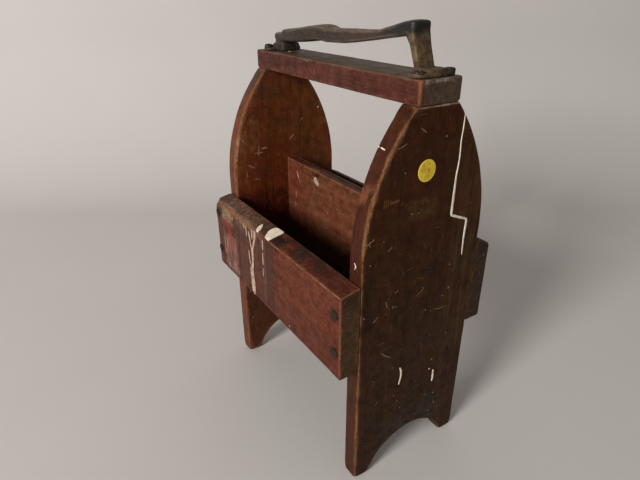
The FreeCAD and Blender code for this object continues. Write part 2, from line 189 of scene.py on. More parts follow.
def wear_down(points, surfaces, radius, chips):
    """Moves a sharp board's vertices onto its worn shape.

    surfaces(p) gives one row of signed distances per bounding surface; radius is the
    rounding at each vertex; chips are (centre, radius) balls that bite into the edges.
    """
    def field(p):
        rows = surfaces(p)
        over = np.maximum(rows + radius, 0)
        worn = np.where(over.max(0) > 0, np.sqrt((over ** 2).sum(0)) - radius, rows.max(0))
        for centre, size in chips:
            worn = np.maximum(worn, size - np.linalg.norm(p - centre, axis=1))
        return worn

    p = points.copy()
    for _ in range(4):
        here = field(p)
        slope = np.stack([(field(p + step) - here) / 0.02 for step in np.eye(3) * 0.02], 1)
        steepness = np.maximum((slope ** 2).sum(1), 0.05)
        p -= slope * (np.clip(here, 0, 6) / steepness)[:, None]
    return p


def board(node, grid, position, surfaces, radius, wear, seed, chips, paint, slot):
    """Worn board in place of a CAD node.

    grid: the three lists of grid lines; position(u, v, w) turns them into mm points;
    radius and wear give edge rounding and the width of bare wood at the edges.
    """
    index, quads = lattice(*(len(g) for g in grid))
    points = position(*(g[index[:, k]] for k, g in enumerate(grid)))
    gap = -np.sort(surfaces(points), axis=0)[-2]
    round_by = np.clip(radius(points, *points.T), 0.3, 12)
    worn = wear_down(points, surfaces, round_by, chips)
    # Shallow hollows across the faces, always inward so that the board stays in its box.
    dents = 0.12 * (0.5 + 0.5 * fractal(points, 60, seed, 2)) * smooth(gap, 2, 12)
    depth = surfaces(worn).max(0)
    for axis, step in enumerate(np.eye(3) * 0.05):
        slope = (surfaces(worn + step).max(0) - depth) / 0.05
        worn[:, axis] -= np.clip(slope, -1, 1) * dents
    bare = wear(points, *points.T) - gap + STORED_UP
    return place(make_mesh(node + "_worn", worn, quads, bare=bare), paint, slot, node)


def edge_chips(count, along, across, size, bite):
    """Balls that nick an edge: along(t) is a point on the edge, across the outward way."""
    direction = np.array(Vector(across).normalized())
    out = []
    for _ in range(count):
        t, r, deep = CHANCE.random(), CHANCE.uniform(*size), CHANCE.uniform(*bite)
        out.append((np.array(along(t)) + direction * (r - deep), r))
    return out


def mm_box(node):
    """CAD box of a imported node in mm."""
    low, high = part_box(node)
    return np.array(low) / MM, np.array(high) / MM


near_lo, near_hi = mm_box("near_end_board")
END_THICK = near_hi[0] - near_lo[0]
END_HALF, END_TOP = near_hi[1], near_hi[2]
ARCH_R, ARCH_FLAT = 186.5, 23.0
ARCH_Y = END_HALF - ARCH_R
SHOULDER = END_TOP - math.sqrt(ARCH_R ** 2 - (ARCH_FLAT - ARCH_Y) ** 2)
FOOT_R, FOOT_RISE = 56.5, 41.0
FOOT_Z = FOOT_RISE - FOOT_R
FOOT_HALF = math.sqrt(FOOT_R ** 2 - FOOT_Z ** 2)


def end_board(node, seed, wear, paint, chips):
    """Board with an arched top and an arched cut-out between its feet."""
    lo, hi = mm_box(node)
    x_mid = (lo[0] + hi[0]) / 2

    def surfaces(p):
        ay = np.abs(p[:, 1])
        arch = np.hypot(ay - ARCH_Y, p[:, 2] - SHOULDER) - ARCH_R
        side = np.where(p[:, 2] > SHOULDER, arch, ay - END_HALF)
        foot = FOOT_R - np.hypot(p[:, 1], p[:, 2] - FOOT_Z)
        return np.stack([np.abs(p[:, 0] - x_mid) - END_THICK / 2, side,
                         p[:, 2] - END_TOP, -p[:, 2], foot])

    def position(u, v, w):
        y0 = u * END_HALF
        arc = np.sqrt(np.clip(FOOT_R ** 2 - y0 ** 2, 0, None)) + FOOT_Z
        low = np.where(np.abs(y0) < FOOT_HALF, np.clip(arc, 0, None), 0)
        z = v + low * (1 - v / END_TOP) ** 1.5
        rise = np.clip(z - SHOULDER, 0, None)
        half = np.where(z > SHOULDER, ARCH_Y + np.sqrt(ARCH_R ** 2 - rise ** 2), END_HALF)
        return np.stack([lo[0] + w, u * half, z], 1)

    # The lattice runs (y, z, x): that order is right-handed, so its faces point outward.
    grid = (spaced(-END_HALF, END_HALF, 4.0, marks=(-FOOT_HALF, FOOT_HALF)) / END_HALF,
            spaced(0, END_TOP, 4.0, marks=(SHOULDER,), fine=(0, .4, .9, 1.6, 2.5, 4, 6)),
            spaced(0, END_THICK, 2.5))
    return board(node, grid, position, surfaces, end_radius, wear, seed, chips, paint,
                 "dark_painted_wood")


def straight_board(node, seed, wear, radius, paint, chips=(), slope=None, step=3.0):
    """Straight board; slope = (y0, z0, y1, z1) replaces its flat top."""
    lo, hi = mm_box(node)
    mid, half = (lo + hi) / 2, (hi - lo) / 2
    y0, z0, y1, z1 = slope or (lo[1], hi[2], hi[1], hi[2])

    def surfaces(p):
        top = p[:, 2] - hi[2]
        if slope:
            top = ((p[:, 2] - z0) * abs(y1 - y0)
                   - (p[:, 1] - y0) * (z1 - z0) * np.sign(y1 - y0)) / math.hypot(y1 - y0, z1 - z0)
        return np.stack([np.abs(p[:, 0] - mid[0]) - half[0], p[:, 1] - hi[1], lo[1] - p[:, 1],
                         lo[2] - p[:, 2], top])

    def position(u, v, w):
        top = z0 + (v - y0) / (y1 - y0) * (z1 - z0)
        return np.stack([u, v, lo[2] + w * (top - lo[2])], 1)

    tall = spaced(0, hi[2] - lo[2], step) / (hi[2] - lo[2])
    grid = (spaced(lo[0], hi[0], step), spaced(lo[1], hi[1], 2.5), tall)
    return board(node, grid, position, surfaces, radius, wear, seed, chips, paint,
                 "red_painted_wood")


# --------------------------------------------------------------------------- shader helpers


class Nodes:
    """Short names for adding nodes to one node tree."""

    def __init__(self, tree):
        self.tree = tree

    def link(self, value, socket):
        if isinstance(value, bpy.types.NodeSocket):
            self.tree.links.new(value, socket)
        else:
            socket.default_value = (*value, 1.0) if socket.type == "RGBA" else value

    def add(self, kind, *values, operation=None, **named):
        """New node; an input's name is written with underscores for its spaces."""
        node = self.tree.nodes.new("ShaderNode" + kind)
        if operation:
            node.operation = operation
        for key, value in (*enumerate(values), *named.items()):
            self.link(value, node.inputs[key.replace("_", " ") if key in named else key])
        return node

    def math(self, operation, first, *rest):
        """The operation on two values, or on each further value in turn."""
        for value in rest:
            first = self.add("Math", first, value, operation=operation).outputs[0]
        return first

    def plus(self, *values):
        return self.math("ADD", *values)

    def times(self, *values):
        return self.math("MULTIPLY", *values)

    def most(self, *values):
        return self.math("MAXIMUM", *values)

    def around(self, value, amount):
        """A value near 0.5, centred on 0 and scaled."""
        return self.times(self.math("SUBTRACT", value, 0.5), amount)

    def vector(self, operation, *values, **scale):
        node = self.add("VectorMath", *values, operation=operation, **scale)
        return node.outputs["Value" if operation in ("LENGTH", "DOT_PRODUCT") else "Vector"]

    def parts(self, vector):
        return self.add("SeparateXYZ", vector).outputs


def segment_group():
    """Node group: distance from a point to the segment that starts at A and runs along B."""
    tree = bpy.data.node_groups.new("segment_distance", "ShaderNodeTree")
    for label, kind in (("P", "Vector"), ("A", "Vector"), ("B", "Vector"), ("Inverse", "Float")):
        tree.interface.new_socket(label, in_out="INPUT", socket_type="NodeSocket" + kind)
    tree.interface.new_socket("Distance", in_out="OUTPUT", socket_type="NodeSocketFloat")
    inside, outside = tree.nodes.new("NodeGroupInput"), tree.nodes.new("NodeGroupOutput")
    point, start, run, inverse = inside.outputs[:4]
    s = Nodes(tree)
    offset = s.vector("SUBTRACT", point, start)
    along = s.times(s.vector("DOT_PRODUCT", offset, run), inverse)
    along.node.use_clamp = True
    rest = s.vector("SUBTRACT", offset, s.vector("SCALE", run, Scale=along))
    s.link(s.vector("LENGTH", rest), outside.inputs[0])
    return tree


SEGMENT = segment_group()


class Shader(Nodes):
    """One node material."""

    def __init__(self, name):
        self.material = bpy.data.materials.new(name)
        self.material.use_nodes = True
        super().__init__(self.material.node_tree)
        self.tree.nodes.clear()
        self.bsdf = self.add("BsdfPrincipled")
        self.add("OutputMaterial", self.bsdf.outputs[0])
        coord = self.add("TexCoord").outputs
        self.place, self.normal = coord["Object"], coord["Normal"]

    def finish(self, colour, rough, normal, specular=0.5, metallic=0.0):
        for name, value in (("Base Color", colour), ("Roughness", rough), ("Normal", normal),
                            ("Specular IOR Level", specular), ("Metallic", metallic)):
            self.link(value, self.bsdf.inputs[name])
        return self.material

    def scaled(self, amount=(1, 1, 1), turn=(0, 0, 0), shift=(0, 0, 0), source=None):
        return self.add("Mapping", Vector=source or self.place, Location=shift, Rotation=turn,
                        Scale=amount).outputs[0]

    def noise(self, where, scale, detail, rough, distort=0.0):
        return self.add("TexNoise", Vector=where, Scale=scale, Detail=detail, Roughness=rough,
                        Distortion=distort).outputs[0]

    def step(self, value, low, high, top=1.0):
        """0 below low, top above high, smooth between."""
        node = self.add("MapRange", Value=value, From_Min=low, From_Max=high, To_Max=top)
        node.interpolation_type = "SMOOTHSTEP"
        return node.outputs[0]

    def mix(self, amount, a, b):
        node = self.tree.nodes.new("ShaderNodeMix")
        node.data_type = "RGBA"
        self.link(amount, node.inputs["Factor"])
        # Mix has one A and B per data type, so the colour pair is picked by its type.
        for value, socket in zip((a, b), [s for s in node.inputs if s.type == "RGBA"]):
            self.link(value, socket)
        return next(s for s in node.outputs if s.type == "RGBA")

    def attribute(self, name):
        node = self.add("Attribute")
        node.attribute_name = name
        return node.outputs["Fac"]

    def bump(self, height, strength, distance, below=None):
        under = {"Normal": below} if below else {}
        return self.add("Bump", Strength=strength, Distance=distance, Height=height,
                        **under).outputs[0]

    def box_mask(self, low, high, soft, ragged):
        """1 inside a box given in mm, fading over soft mm; ragged is added to the gap."""
        low, high = np.array(low) * MM, np.array(high) * MM
        off = self.vector("ABSOLUTE", self.vector("SUBTRACT", self.place, (low + high) / 2))
        gap = self.most(*self.parts(self.vector("SUBTRACT", off, (high - low) / 2)))
        return self.step(self.plus(gap, ragged), soft * MM, -soft * MM)

    def marks(self, segments, width, soft, ragged):
        """1 on straight marks given as pairs of mm points, else 0."""
        gaps = []
        for a, b in segments:
            group = self.add("Group")
            group.node_tree = SEGMENT
            a, b = Vector(a) * MM, Vector(b) * MM
            run = b - a
            values = (self.place, a, run, 1 / max(run.length_squared, 1e-12))
            for value, socket in zip(values, group.inputs):
                self.link(value, socket)
            gaps.append(group.outputs[0])
        nearest = self.plus(self.math("MINIMUM", *gaps), ragged)
        return self.step(nearest, (width / 2 + soft) * MM, max(width / 2 - soft, 0) * MM)

    def cell_offset(self, scale, shift):
        """(offset from the nearest cell centre, the cell's colour) in cell sizes."""
        where = self.scaled((scale,) * 3, shift=(shift,) * 3)
        cell = self.add("TexVoronoi", Vector=where, Scale=1.0).outputs
        return self.vector("SUBTRACT", where, cell["Position"]), cell["Color"]

    def chosen(self, colour, share):
        """(1 in that share of the cells and 0 in the rest, a number from 0 to 1)."""
        parts = self.parts(colour)
        lot = self.math("FRACT", self.times(parts[0], 7.31), 0.0)
        return self.math("LESS_THAN", lot, share), parts[1]

    def spots(self, scale, radius, share, shift):
        """Round spots up to radius metres, one in that share of the cells."""
        offset, colour = self.cell_offset(scale, shift)
        present, lot = self.chosen(colour, share)
        size = self.times(self.plus(lot, 0.25), radius * scale * 0.8)
        gap = self.math("SUBTRACT", self.vector("LENGTH", offset), size)
        return self.times(present, self.step(gap, 0.0, -radius * scale * 0.35))

    def nicks(self, scale, width, length, share, shift):
        """Short straight scratches lying at random, one in that share of the cells."""
        offset, colour = self.cell_offset(scale, shift)
        tilt = self.vector("SUBTRACT", colour, (0.5, 0.5, 0.5))
        # Held square to the surface, so that a scratch keeps its width.
        lean = self.vector("DOT_PRODUCT", tilt, self.normal)
        lean = self.vector("SCALE", self.normal, Scale=lean)
        tilt = self.vector("NORMALIZE", self.vector("SUBTRACT", tilt, lean))
        across = self.math("ABSOLUTE", self.vector("DOT_PRODUCT", offset, tilt), 0.0)
        thin = self.step(across, width * scale, width * scale * 0.3)
        reach = length * scale / 2
        near = self.step(self.vector("LENGTH", offset), reach, reach * 0.8)
        return self.times(self.chosen(colour, share)[0], thin, near)


def srgb(r, g, b):
    """Linear colour from 0-255 screen values."""
    return tuple(((c / 255 + 0.055) / 1.055) ** 2.4 if c > 10 else c / 255 / 12.92
                 for c in (r, g, b))


# --------------------------------------------------------------------------- materials
BARE_PALE, BARE_WOOD, BARE_DARK = srgb(140, 96, 64), srgb(100, 64, 42), srgb(64, 40, 27)
CREAM = srgb(232, 222, 206)
NICK_TONE = srgb(132, 98, 72)
GRAIN = {"x": (0.06, 1, 1), "z": (1, 1, 0.06)}
SOLID = "solid"


def painted_wood(name, along, coats, patches, lines, bare, flecks, nicks, gloss, hair, rub=1.0):
    """Old brushed paint over pine.

    along: grain axis; coats: (main, second, dark, rubbed) screen colours; bare scales how
    ragged the bare wood at the edges is; patches are (low, high, soft, ragged, colour, amount,
    stretch) boxes in mm, with stretch None for mottling, SOLID for full cover or a (scale,
    turn) pair for streaks; lines are (segments, width, soft, ragged, colour, amount); flecks
    and nicks say how many paint specks and short scratches there are, hair how clear the long
    scratches are and rub how clear the rubbed places.
    """
    s = Shader(name)
    main, second, dark, rubbed = (srgb(*coat) for coat in coats)
    grain = s.scaled(GRAIN[along])
    blotch = s.noise(s.place, 15, 3, 0.6)
    cloud = s.noise(s.place, 55, 5, 0.66)
    broad = s.noise(grain, 95, 4, 0.6, 0.5)
    narrow = s.noise(grain, 330, 4, 0.62, 0.3)
    fine = s.noise(grain, 1000, 3, 0.6)
    speckle = s.noise(s.place, 620, 3, 0.62)
    mottle = s.noise(s.place, 170, 5, 0.7)

    colour = s.mix(s.step(blotch, 0.40, 0.60), main, second)
    for source, low, high, amount, tone in (
            (broad, 0.50, 0.68, 0.6, dark), (broad, 0.44, 0.30, 0.35 * rub, rubbed),
            (narrow, 0.50, 0.68, 0.45, dark), (narrow, 0.44, 0.30, 0.2 * rub, rubbed),
            (mottle, 0.56, 0.74, 0.45 * rub, rubbed), (cloud, 0.46, 0.30, 0.6, dark)):
        colour = s.mix(s.step(source, low, high, amount), colour, tone)
    grime = s.mix(0.5, colour, (0.004, 0.003, 0.002))
    colour = s.mix(s.step(s.plus(fine, speckle), 1.0, 1.3, 0.55), colour, grime)
    uneven = s.step(s.noise(s.place, 85, 5, 0.72), 0.34, 0.66, 0.6)
    colour = s.vector("SCALE", colour, Scale=s.plus(0.68, uneven))

    wobble = s.around(cloud, 0.014)
    for low, high, soft, ragged, tone, amount, stretch in patches:
        mask = s.box_mask(low, high, soft, s.times(wobble, ragged))
        if stretch == SOLID:
            pattern = s.step(speckle, 0.2, 0.5, amount)
        elif stretch is None:
            pattern = s.step(s.plus(mottle, s.times(speckle, 0.5)), 0.52, 0.92, amount)
        else:
            lane = s.scaled(stretch[0], source=s.scaled(turn=stretch[1]))
            pattern = s.step(s.noise(lane, 1.0, 4, 0.65, 0.3), 0.38, 0.58, amount)
        colour = s.mix(s.times(mask, pattern), colour, srgb(*tone))
    raised = 0.0
    for segments, width, soft, ragged, tone, amount in lines:
        mask = s.marks(segments, width, soft, s.times(wobble, ragged))
        mask = s.times(mask, s.step(speckle, 0.15, 0.5, amount))
        raised = s.plus(raised, mask)
        colour = s.mix(mask, colour, srgb(*tone))

    # Long hair scratches in two directions, kept to a few areas, then short nicks all over.
    scratch = 0.0
    for turn, offset in (((0.5, 0.35, 0.9), 5.0), ((1.2, 0.2, 2.1), 11.0)):
        lane = s.scaled((1, 0.018, 1), turn, (offset, 0, offset))
        hit = s.step(s.noise(lane, 420, 1, 0.4), 0.71, 0.75)
        area = s.step(s.noise(s.scaled(shift=(offset, 2, 0)), 22, 2, 0.5), 0.5, 0.6)
        scratch = s.most(scratch, s.times(hit, area))
    short = s.most(s.nicks(70, 0.00045, 0.010, 0.40 * nicks, 1.7),
                   s.nicks(120, 0.0004, 0.006, 0.50 * nicks, 4.1))
    scratch = s.most(s.times(scratch, hair), s.times(short, s.step(speckle, 0.38, 0.55)))
    colour = s.mix(s.times(scratch, 0.5), colour, NICK_TONE)

    # Splashes of cream paint, a few larger and many tiny.
    fleck = s.most(s.spots(75, 0.0016, 0.10 * flecks, 0.0),
                   s.spots(210, 0.0007, 0.14 * flecks, 2.3))
    colour = s.mix(s.times(fleck, 0.8), colour, CREAM)
    pit = s.spots(150, 0.0011, 0.16, 7.7)
    colour = s.mix(s.times(pit, 0.6), colour, (0.006, 0.004, 0.003))

    # Bare wood: the attribute gives its width, noise breaks its border up.
    edge = s.plus(s.attribute("bare"), -STORED_UP, s.around(cloud, 9.0 * bare),
                  s.around(mottle, 8.0 * bare), s.around(narrow, 4.0 * bare))
    colour = s.mix(s.step(edge, -3.0, 0.2, 0.45), colour, rubbed)
    worn = s.step(edge, 0.0, 0.9)
    wood = s.mix(s.step(s.plus(fine, s.times(narrow, 0.6)), 0.6, 1.0), BARE_WOOD, BARE_PALE)
    wood = s.mix(s.step(mottle, 0.40, 0.62, 0.6), wood, BARE_DARK)
    colour = s.mix(s.times(worn, 0.85), colour, wood)

    rough = s.plus(gloss, s.around(cloud, 0.6), s.around(fine, 0.3), s.times(worn, 0.3))
    low = s.bump(s.plus(broad, s.times(cloud, 0.6)), 0.4, 0.0016)
    mid = s.bump(s.plus(fine, s.times(speckle, 0.6), s.times(narrow, 1.2)), 0.4, 0.0005, low)
    hollow = s.plus(worn, pit, s.times(scratch, 0.8))
    top = s.math("SUBTRACT", s.plus(fleck, s.times(raised, 0.3)), hollow)
    return s.finish(colour, s.most(rough, 0.25), s.bump(top, 0.7, 0.00035, mid), 0.07)


def iron_material():
    """Old casting: dark patina with brown and bluish tones, a little rubbed on its high spots,
    with a painted highlight along them.
    """
    s = Shader("worn_cast_iron")
    cloud = s.noise(s.place, 38, 4, 0.6)
    spot = s.noise(s.place, 170, 4, 0.65)
    sand = s.noise(s.place, 900, 3, 0.6)
    pits = s.add("TexVoronoi", Vector=s.place, Scale=420).outputs["Distance"]
    along, _, high = s.parts(s.place)
    colour = s.mix(s.step(cloud, 0.36, 0.64), srgb(52, 43, 37), srgb(62, 50, 43))
    colour = s.mix(s.step(spot, 0.5, 0.66, 0.7), colour, srgb(28, 24, 21))
    # Towards the toe the casting turns bluish grey and smoother; its neck is olive brown.
    toe = s.step(s.plus(along, s.times(cloud, 0.03)), 0.084, 0.104)
    colour = s.mix(s.times(toe, 0.85), colour, srgb(27, 29, 30))
    neck = s.times(s.step(s.plus(high, s.around(spot, 0.012)), 0.4505, 0.4405),
                   s.step(along, 0.098, 0.108))
    olive = s.mix(s.step(spot, 0.38, 0.62), srgb(108, 87, 58), srgb(70, 57, 40))
    colour = s.mix(s.times(neck, 0.85), colour, olive)
    foot = s.step(high, 0.4245, 0.4215, 0.8)
    colour = s.mix(s.times(foot, s.step(cloud, 0.62, 0.44)), colour, srgb(44, 42, 32))
    brown = s.times(s.step(spot, 0.52, 0.66), s.step(along, 0.0, 0.05))
    colour = s.mix(s.times(foot, brown), colour, srgb(96, 62, 46))
    upward = s.times(s.step(s.parts(s.normal)[2], 0.55, 0.9), s.step(high, 0.425, 0.43))
    tan = s.mix(s.step(spot, 0.4, 0.6), srgb(104, 87, 62), srgb(70, 57, 41))
    colour = s.mix(s.times(upward, s.step(along, 0.09, 0.07)), colour, tan)
    rust = s.step(s.plus(spot, s.times(cloud, 0.4)), 0.74, 0.88)
    colour = s.mix(s.times(rust, 0.5), colour, srgb(86, 54, 36))
    # Lighter ridges: rubbed wear, and a painted highlight along the edges.
    rubbed = s.times(s.step(s.attribute("ridge"), 0.45, 1.0),
                     s.plus(s.step(along, 0.104, 0.08, 0.38), 0.07))
    colour = s.mix(rubbed, colour, srgb(112, 98, 86))
    dark = s.step(pits, 0.17, 0.05)
    colour = s.mix(s.times(dark, 0.6), colour, srgb(20, 17, 15))
    rough = s.plus(0.5, s.around(spot, 0.5), s.times(rust, 0.2),
                   s.times(s.most(toe, rubbed), -0.1), s.times(neck, 0.25))
    mid = s.bump(sand, 0.4, 0.0003, s.bump(spot, 0.45, 0.0010))
    return s.finish(colour, rough, s.bump(s.times(dark, -1.0), 0.5, 0.0003, mid), 0.3, 0.25)


def steel_material(name, base, rusted, rust_share, metallic):
    """Dark old nail and screw steel, browned by rust."""
    s = Shader(name)
    cloud = s.noise(s.place, 260, 4, 0.65)
    sand = s.noise(s.place, 1400, 3, 0.6)
    rust = s.step(cloud, 0.62 - 0.25 * rust_share, 0.78 - 0.25 * rust_share)
    colour = s.mix(rust, s.mix(sand, s.mix(0.4, base, (0, 0, 0)), base), rusted)
    normal = s.bump(sand, 0.35, 0.00015, s.bump(cloud, 0.5, 0.0005))
    return s.finish(colour, s.plus(0.46, s.times(rust, 0.3)), normal, 0.3, metallic)


def paint_mark_material(name, light, dark, dirt):
    """Spilled paint or scuffed wood in two tones with dirt in its hollows."""
    s = Shader(name)
    cloud = s.noise(s.place, 160, 4, 0.6)
    sand = s.noise(s.place, 900, 3, 0.6)
    colour = s.mix(s.step(cloud, 0.38, 0.68), light, dark)
    colour = s.mix(s.step(sand, 0.55, 0.75, 0.6), colour, dirt)
    normal = s.bump(sand, 0.2, 0.0001, s.bump(cloud, 0.3, 0.0006))
    return s.finish(colour, s.plus(0.4, s.times(cloud, 0.3)), normal, 0.3)


def label_material():
    """Yellow paper with fibres, smudges and a paler rim."""
    s = Shader("faded_label_paper")
    cloud = s.noise(s.place, 170, 4, 0.6)
    fibre = s.noise(s.scaled((1, 1, 0.2)), 1600, 2, 0.6)
    rim = s.attribute("rim")
    colour = s.mix(s.step(cloud, 0.36, 0.7), srgb(226, 196, 40), srgb(200, 162, 28))
    colour = s.mix(s.times(fibre, 0.2), colour, srgb(240, 218, 84))
    colour = s.mix(s.step(rim, 0.8, 1.0, 0.6), colour, srgb(236, 216, 96))
    # Smudged by handling, most of all in the middle.
    smudge = s.math("SUBTRACT", s.noise(s.place, 330, 4, 0.65), s.times(rim, 0.14))
    colour = s.mix(s.step(smudge, 0.44, 0.58, 0.7), colour, srgb(158, 92, 30))
    normal = s.bump(s.plus(cloud, s.times(fibre, 0.2)), 0.4, 0.0004)
    return s.finish(colour, s.plus(0.4, s.times(cloud, 0.3)), normal)


# Marks on each board, in mm: boxes and thin lines of another tone.
NEAR_X, FRONT_Y = 139.0, -94.5
UPRIGHT, LENGTHWISE = ((240, 240, 14), (0, 0, 0)), ((14, 240, 240), (0, 0, 0))
SCRAPED, CROSSWISE = ((300, 300, 24), (0, 0, 0)), ((150, 150, 9), (0, 0, 0))
FLECKED = ((230, 230, 230), (0, 0, 0))
BRUSHED, SAWN = ((30, 170, 170), (0, 0, 0)), ((200, 60, 300), (-0.75, 0, 0))


def on_near(points):
    return [(NEAR_X, y, z) for y, z in points]


def chain(points):
    return list(zip(points[:-1], points[1:]))


def pairs(points):
    return list(zip(points[0::2], points[1::2]))


near_lines = [
    (pairs(on_near([(-52, 322.5), (-52, 316), (-49.8, 322.5), (-49.8, 316), (-47.5, 322),
                    (-47.5, 316.4), (-45, 321.6), (-45, 317)])),
     0.9, 0.4, 0.05, (128, 84, 56), 0.7),
    (pairs(on_near([(-43.7, 319), (-37, 319.6)])), 2.4, 1.0, 0.4, (128, 84, 56), 0.55),
    # Painted highlight: a pale line along the near board's top arris under the rail.
    (pairs(on_near([(-24, 394), (23, 394)])), 1.2, 0.5, 0.2, (176, 152, 130), 0.8),
]
near_patches = [
    ((120, -80, -5), (140, 80, 150), 40, 3.0, (56, 44, 34), 0.5, None),
    ((120, -10, 36), (140, 46, 66), 8, 1.2, (70, 62, 62), 0.45, None),
    ((120, -45, 30), (140, -12, 62), 8, 1.2, (66, 60, 62), 0.4, None),
    ((120, -24, 298), (140, 8, 313), 6, 1.5, (96, 76, 44), 0.6, None),
    ((120, 40, 130), (140, 74, 370), 14, 2.0, (84, 61, 37), 0.7, UPRIGHT),
    ((120, -80, 270), (140, 40, 400), 30, 2.0, (72, 28, 10), 0.55, UPRIGHT),
    ((112, -100, 0), (136, -40, 400), 1, 0.3, (72, 31, 26), 0.7, UPRIGHT),
    ((120, -76, 320), (133, -60, 333), 4, 1.6, (132, 82, 56), 0.45, UPRIGHT),
]
front_lines = [
    (chain([(-109, FRONT_Y, 221), (-103, FRONT_Y, 216), (-101, FRONT_Y, 206),
            (-99, FRONT_Y, 195)]), 15, 5.5, 2.2, (126, 38, 35), 0.6),
    (chain([(6, FRONT_Y, 241.2), (138, FRONT_Y, 241.2)]), 1.2, 0.6, 0.2,
     (176, 128, 104), 0.8),
    (pairs([(0.4, FRONT_Y, 243), (-4.6, FRONT_Y, 150), (14.4, FRONT_Y, 243),
            (10.8, FRONT_Y, 150)]), 1.3, 0.6, 0.12, (26, 15, 12), 0.9),
    (pairs([(-70, FRONT_Y, 238), (-77.5, FRONT_Y, 150)]), 2.4, 1.0, 0.2, (38, 26, 24), 0.7),
    # Dark blots at the nail heads: rust stain, and a painted shadow to the left of and below each
    # head.
    (pairs([(127.5, FRONT_Y, 218), (129, FRONT_Y, 220), (129, FRONT_Y, 177),
            (130, FRONT_Y, 179), (-136, FRONT_Y, 222), (-134, FRONT_Y, 225),
            (-136.5, FRONT_Y, 171), (-134.5, FRONT_Y, 174)]), 11, 3.5, 0.9, (34, 21, 16), 0.9),
    (pairs([(-139.2, -94.6, 236), (-139.2, -94.6, 160), (138.8, -94.6, 240),
            (138.8, -94.6, 196), (139, -94, 242), (139, -73, 246)]), 1.5, 0.7, 0.3,
     (156, 112, 72), 0.75),
]
front_patches = [
    ((-140, -100, 140), (-2, -93, 245), 14, 2.5, (92, 68, 58), 0.75, UPRIGHT),
    ((-140, -100, 140), (10, -93, 245), 8, 1.0, (46, 30, 26), 0.55, CROSSWISE),
    ((-120, -100, 158), (-84, -93, 206), 5, 1.6, (158, 118, 106), 0.75, SCRAPED),
    ((-121, -100, 222), (-88, -91, 246), 4, 1.6, (150, 136, 106), 0.9, None),
    ((-139, -98, 236), (-14, -80, 250), 6, 1.5, (128, 98, 78), 0.75, None),
    ((-110, -100, 239), (-40, -88, 250), 4, 1.8, (160, 138, 118), 0.6, None),
    ((-140, -100, 236), (-118, -70, 250), 5, 1.2, (70, 60, 54), 0.8, None),
    ((-139, -90, 236), (-10, -70, 250), 4, 1.2, (84, 56, 44), 0.8, SOLID),
    ((-120, -90, 236), (-34, -70, 250), 8, 2.6, (136, 106, 84), 0.7, None),
    ((-139, -90, 236), (-10, -70, 250), 4, 1.2, (44, 30, 25), 0.6, FLECKED),
    ((6, -93.4, 238), (139, -70, 250), 3, 0.6, (54, 26, 20), 0.9, BRUSHED),
    ((-4, -100, 140), (12, -93, 243), 1.5, 0.2, (62, 40, 34), 0.85, UPRIGHT),
    ((3, -97, 236), (26, -79, 252), 3, 0.8, (20, 22, 20), 0.95, None),
    ((26, -92, 240), (70, -80, 250), 6, 1.5, (112, 58, 36), 0.5, None),
    ((42, -91, 230), (64, -70, 260), 4, 1.4, (28, 27, 28), 0.8, SOLID),
    ((70, -83, 230), (85, -68, 260), 3.5, 1.2, (32, 28, 28), 0.65, SOLID),
    ((40, -100, 196), (139, -93, 243), 22, 2.5, (112, 58, 36), 0.5, None),
    ((-140, -100, 148), (139, -93, 154), 2, 0.6, (44, 28, 24), 0.7, None),
    ((138, -96, 149), (141, -70, 250), 1.0, 0.1, (70, 50, 31), 0.97, SOLID),
    ((138, -96, 149), (141, -70, 250), 1.0, 0.1, (34, 28, 19), 0.75, SAWN),
    ((138, -90, 158), (141, -76, 226), 4, 1.2, (98, 80, 52), 0.5, None),
]
far_patches = [
    ((-121, -30, 262), (-118, 50, 385), 26, 2.5, (74, 50, 16), 0.85, None),
    ((-121, -60, 150), (-118, 5, 300), 24, 2.5, (100, 28, 12), 0.85, UPRIGHT),
    ((-121, -72, 300), (-118, -40, 380), 8, 2.0, (120, 84, 56), 0.55, None),
    ((-121, -68, 252), (-118, -40, 286), 8, 2.0, (124, 76, 50), 0.4, None),
    ((-138, -100, 0), (-121, -24, 400), 1, 0.4, (92, 60, 47), 0.8, UPRIGHT),
    ((-137.8, -64, 372), (-121.4, -14, 396), 7, 1.2, (60, 50, 44), 0.85, SOLID),
    ((-125, -80, -5), (-110, 80, 145), 5, 2.0, (66, 39, 27), 0.8, SOLID),
    # Painted shadow: near-black where the front board shades the far board's inside face.
    ((-121, -73, 172), (-118, -2, 240), 12, 1.2, (26, 15, 10), 0.85, SOLID),
]
far_lines = [
    (chain([(-120.2, -72.4, 236), (-120.2, -72.4, 250), (-120.2, -70, 290),
            (-120.2, -62, 330), (-120.2, -52, 357), (-120.2, -42, 376)]), 2.8, 1.3, 0.6,
     (182, 144, 112), 0.95),
]
divider_lines = [
    (pairs([(-96, 1.8, 272), (-93, 1.8, 265), (-93, 1.8, 265), (-89, 1.8, 259.5),
            (-99, 1.8, 243), (-100, 1.8, 236), (-101, 1.8, 228), (-101, 1.8, 224)]),
     1.5, 0.7, 0.3, (170, 130, 108), 0.6),
]
divider_patches = [
    ((-122, 0, 172), (-76, 3, 285), 14, 2.0, (108, 44, 34), 0.75, None),
    ((-60, 0, 205), (120, 3, 275), 20, 2.5, (112, 70, 44), 0.55, LENGTHWISE),
    # Painted shadow: near-black over the lower divider, where the front board shades it.
    ((-122, 0, 170), (122, 3, 214), 18, 1.5, (28, 16, 10), 0.9, SOLID),
    ((-60, 0, 278), (-45, 4, 287), 2.5, 1.4, (20, 14, 10), 0.97, SOLID),
    # Painted shade: the divider's top face darkened.
    ((-120, 2.6, 282.6), (120, 15, 287), 0.8, 0.2, (30, 22, 16), 0.95, LENGTHWISE),
]
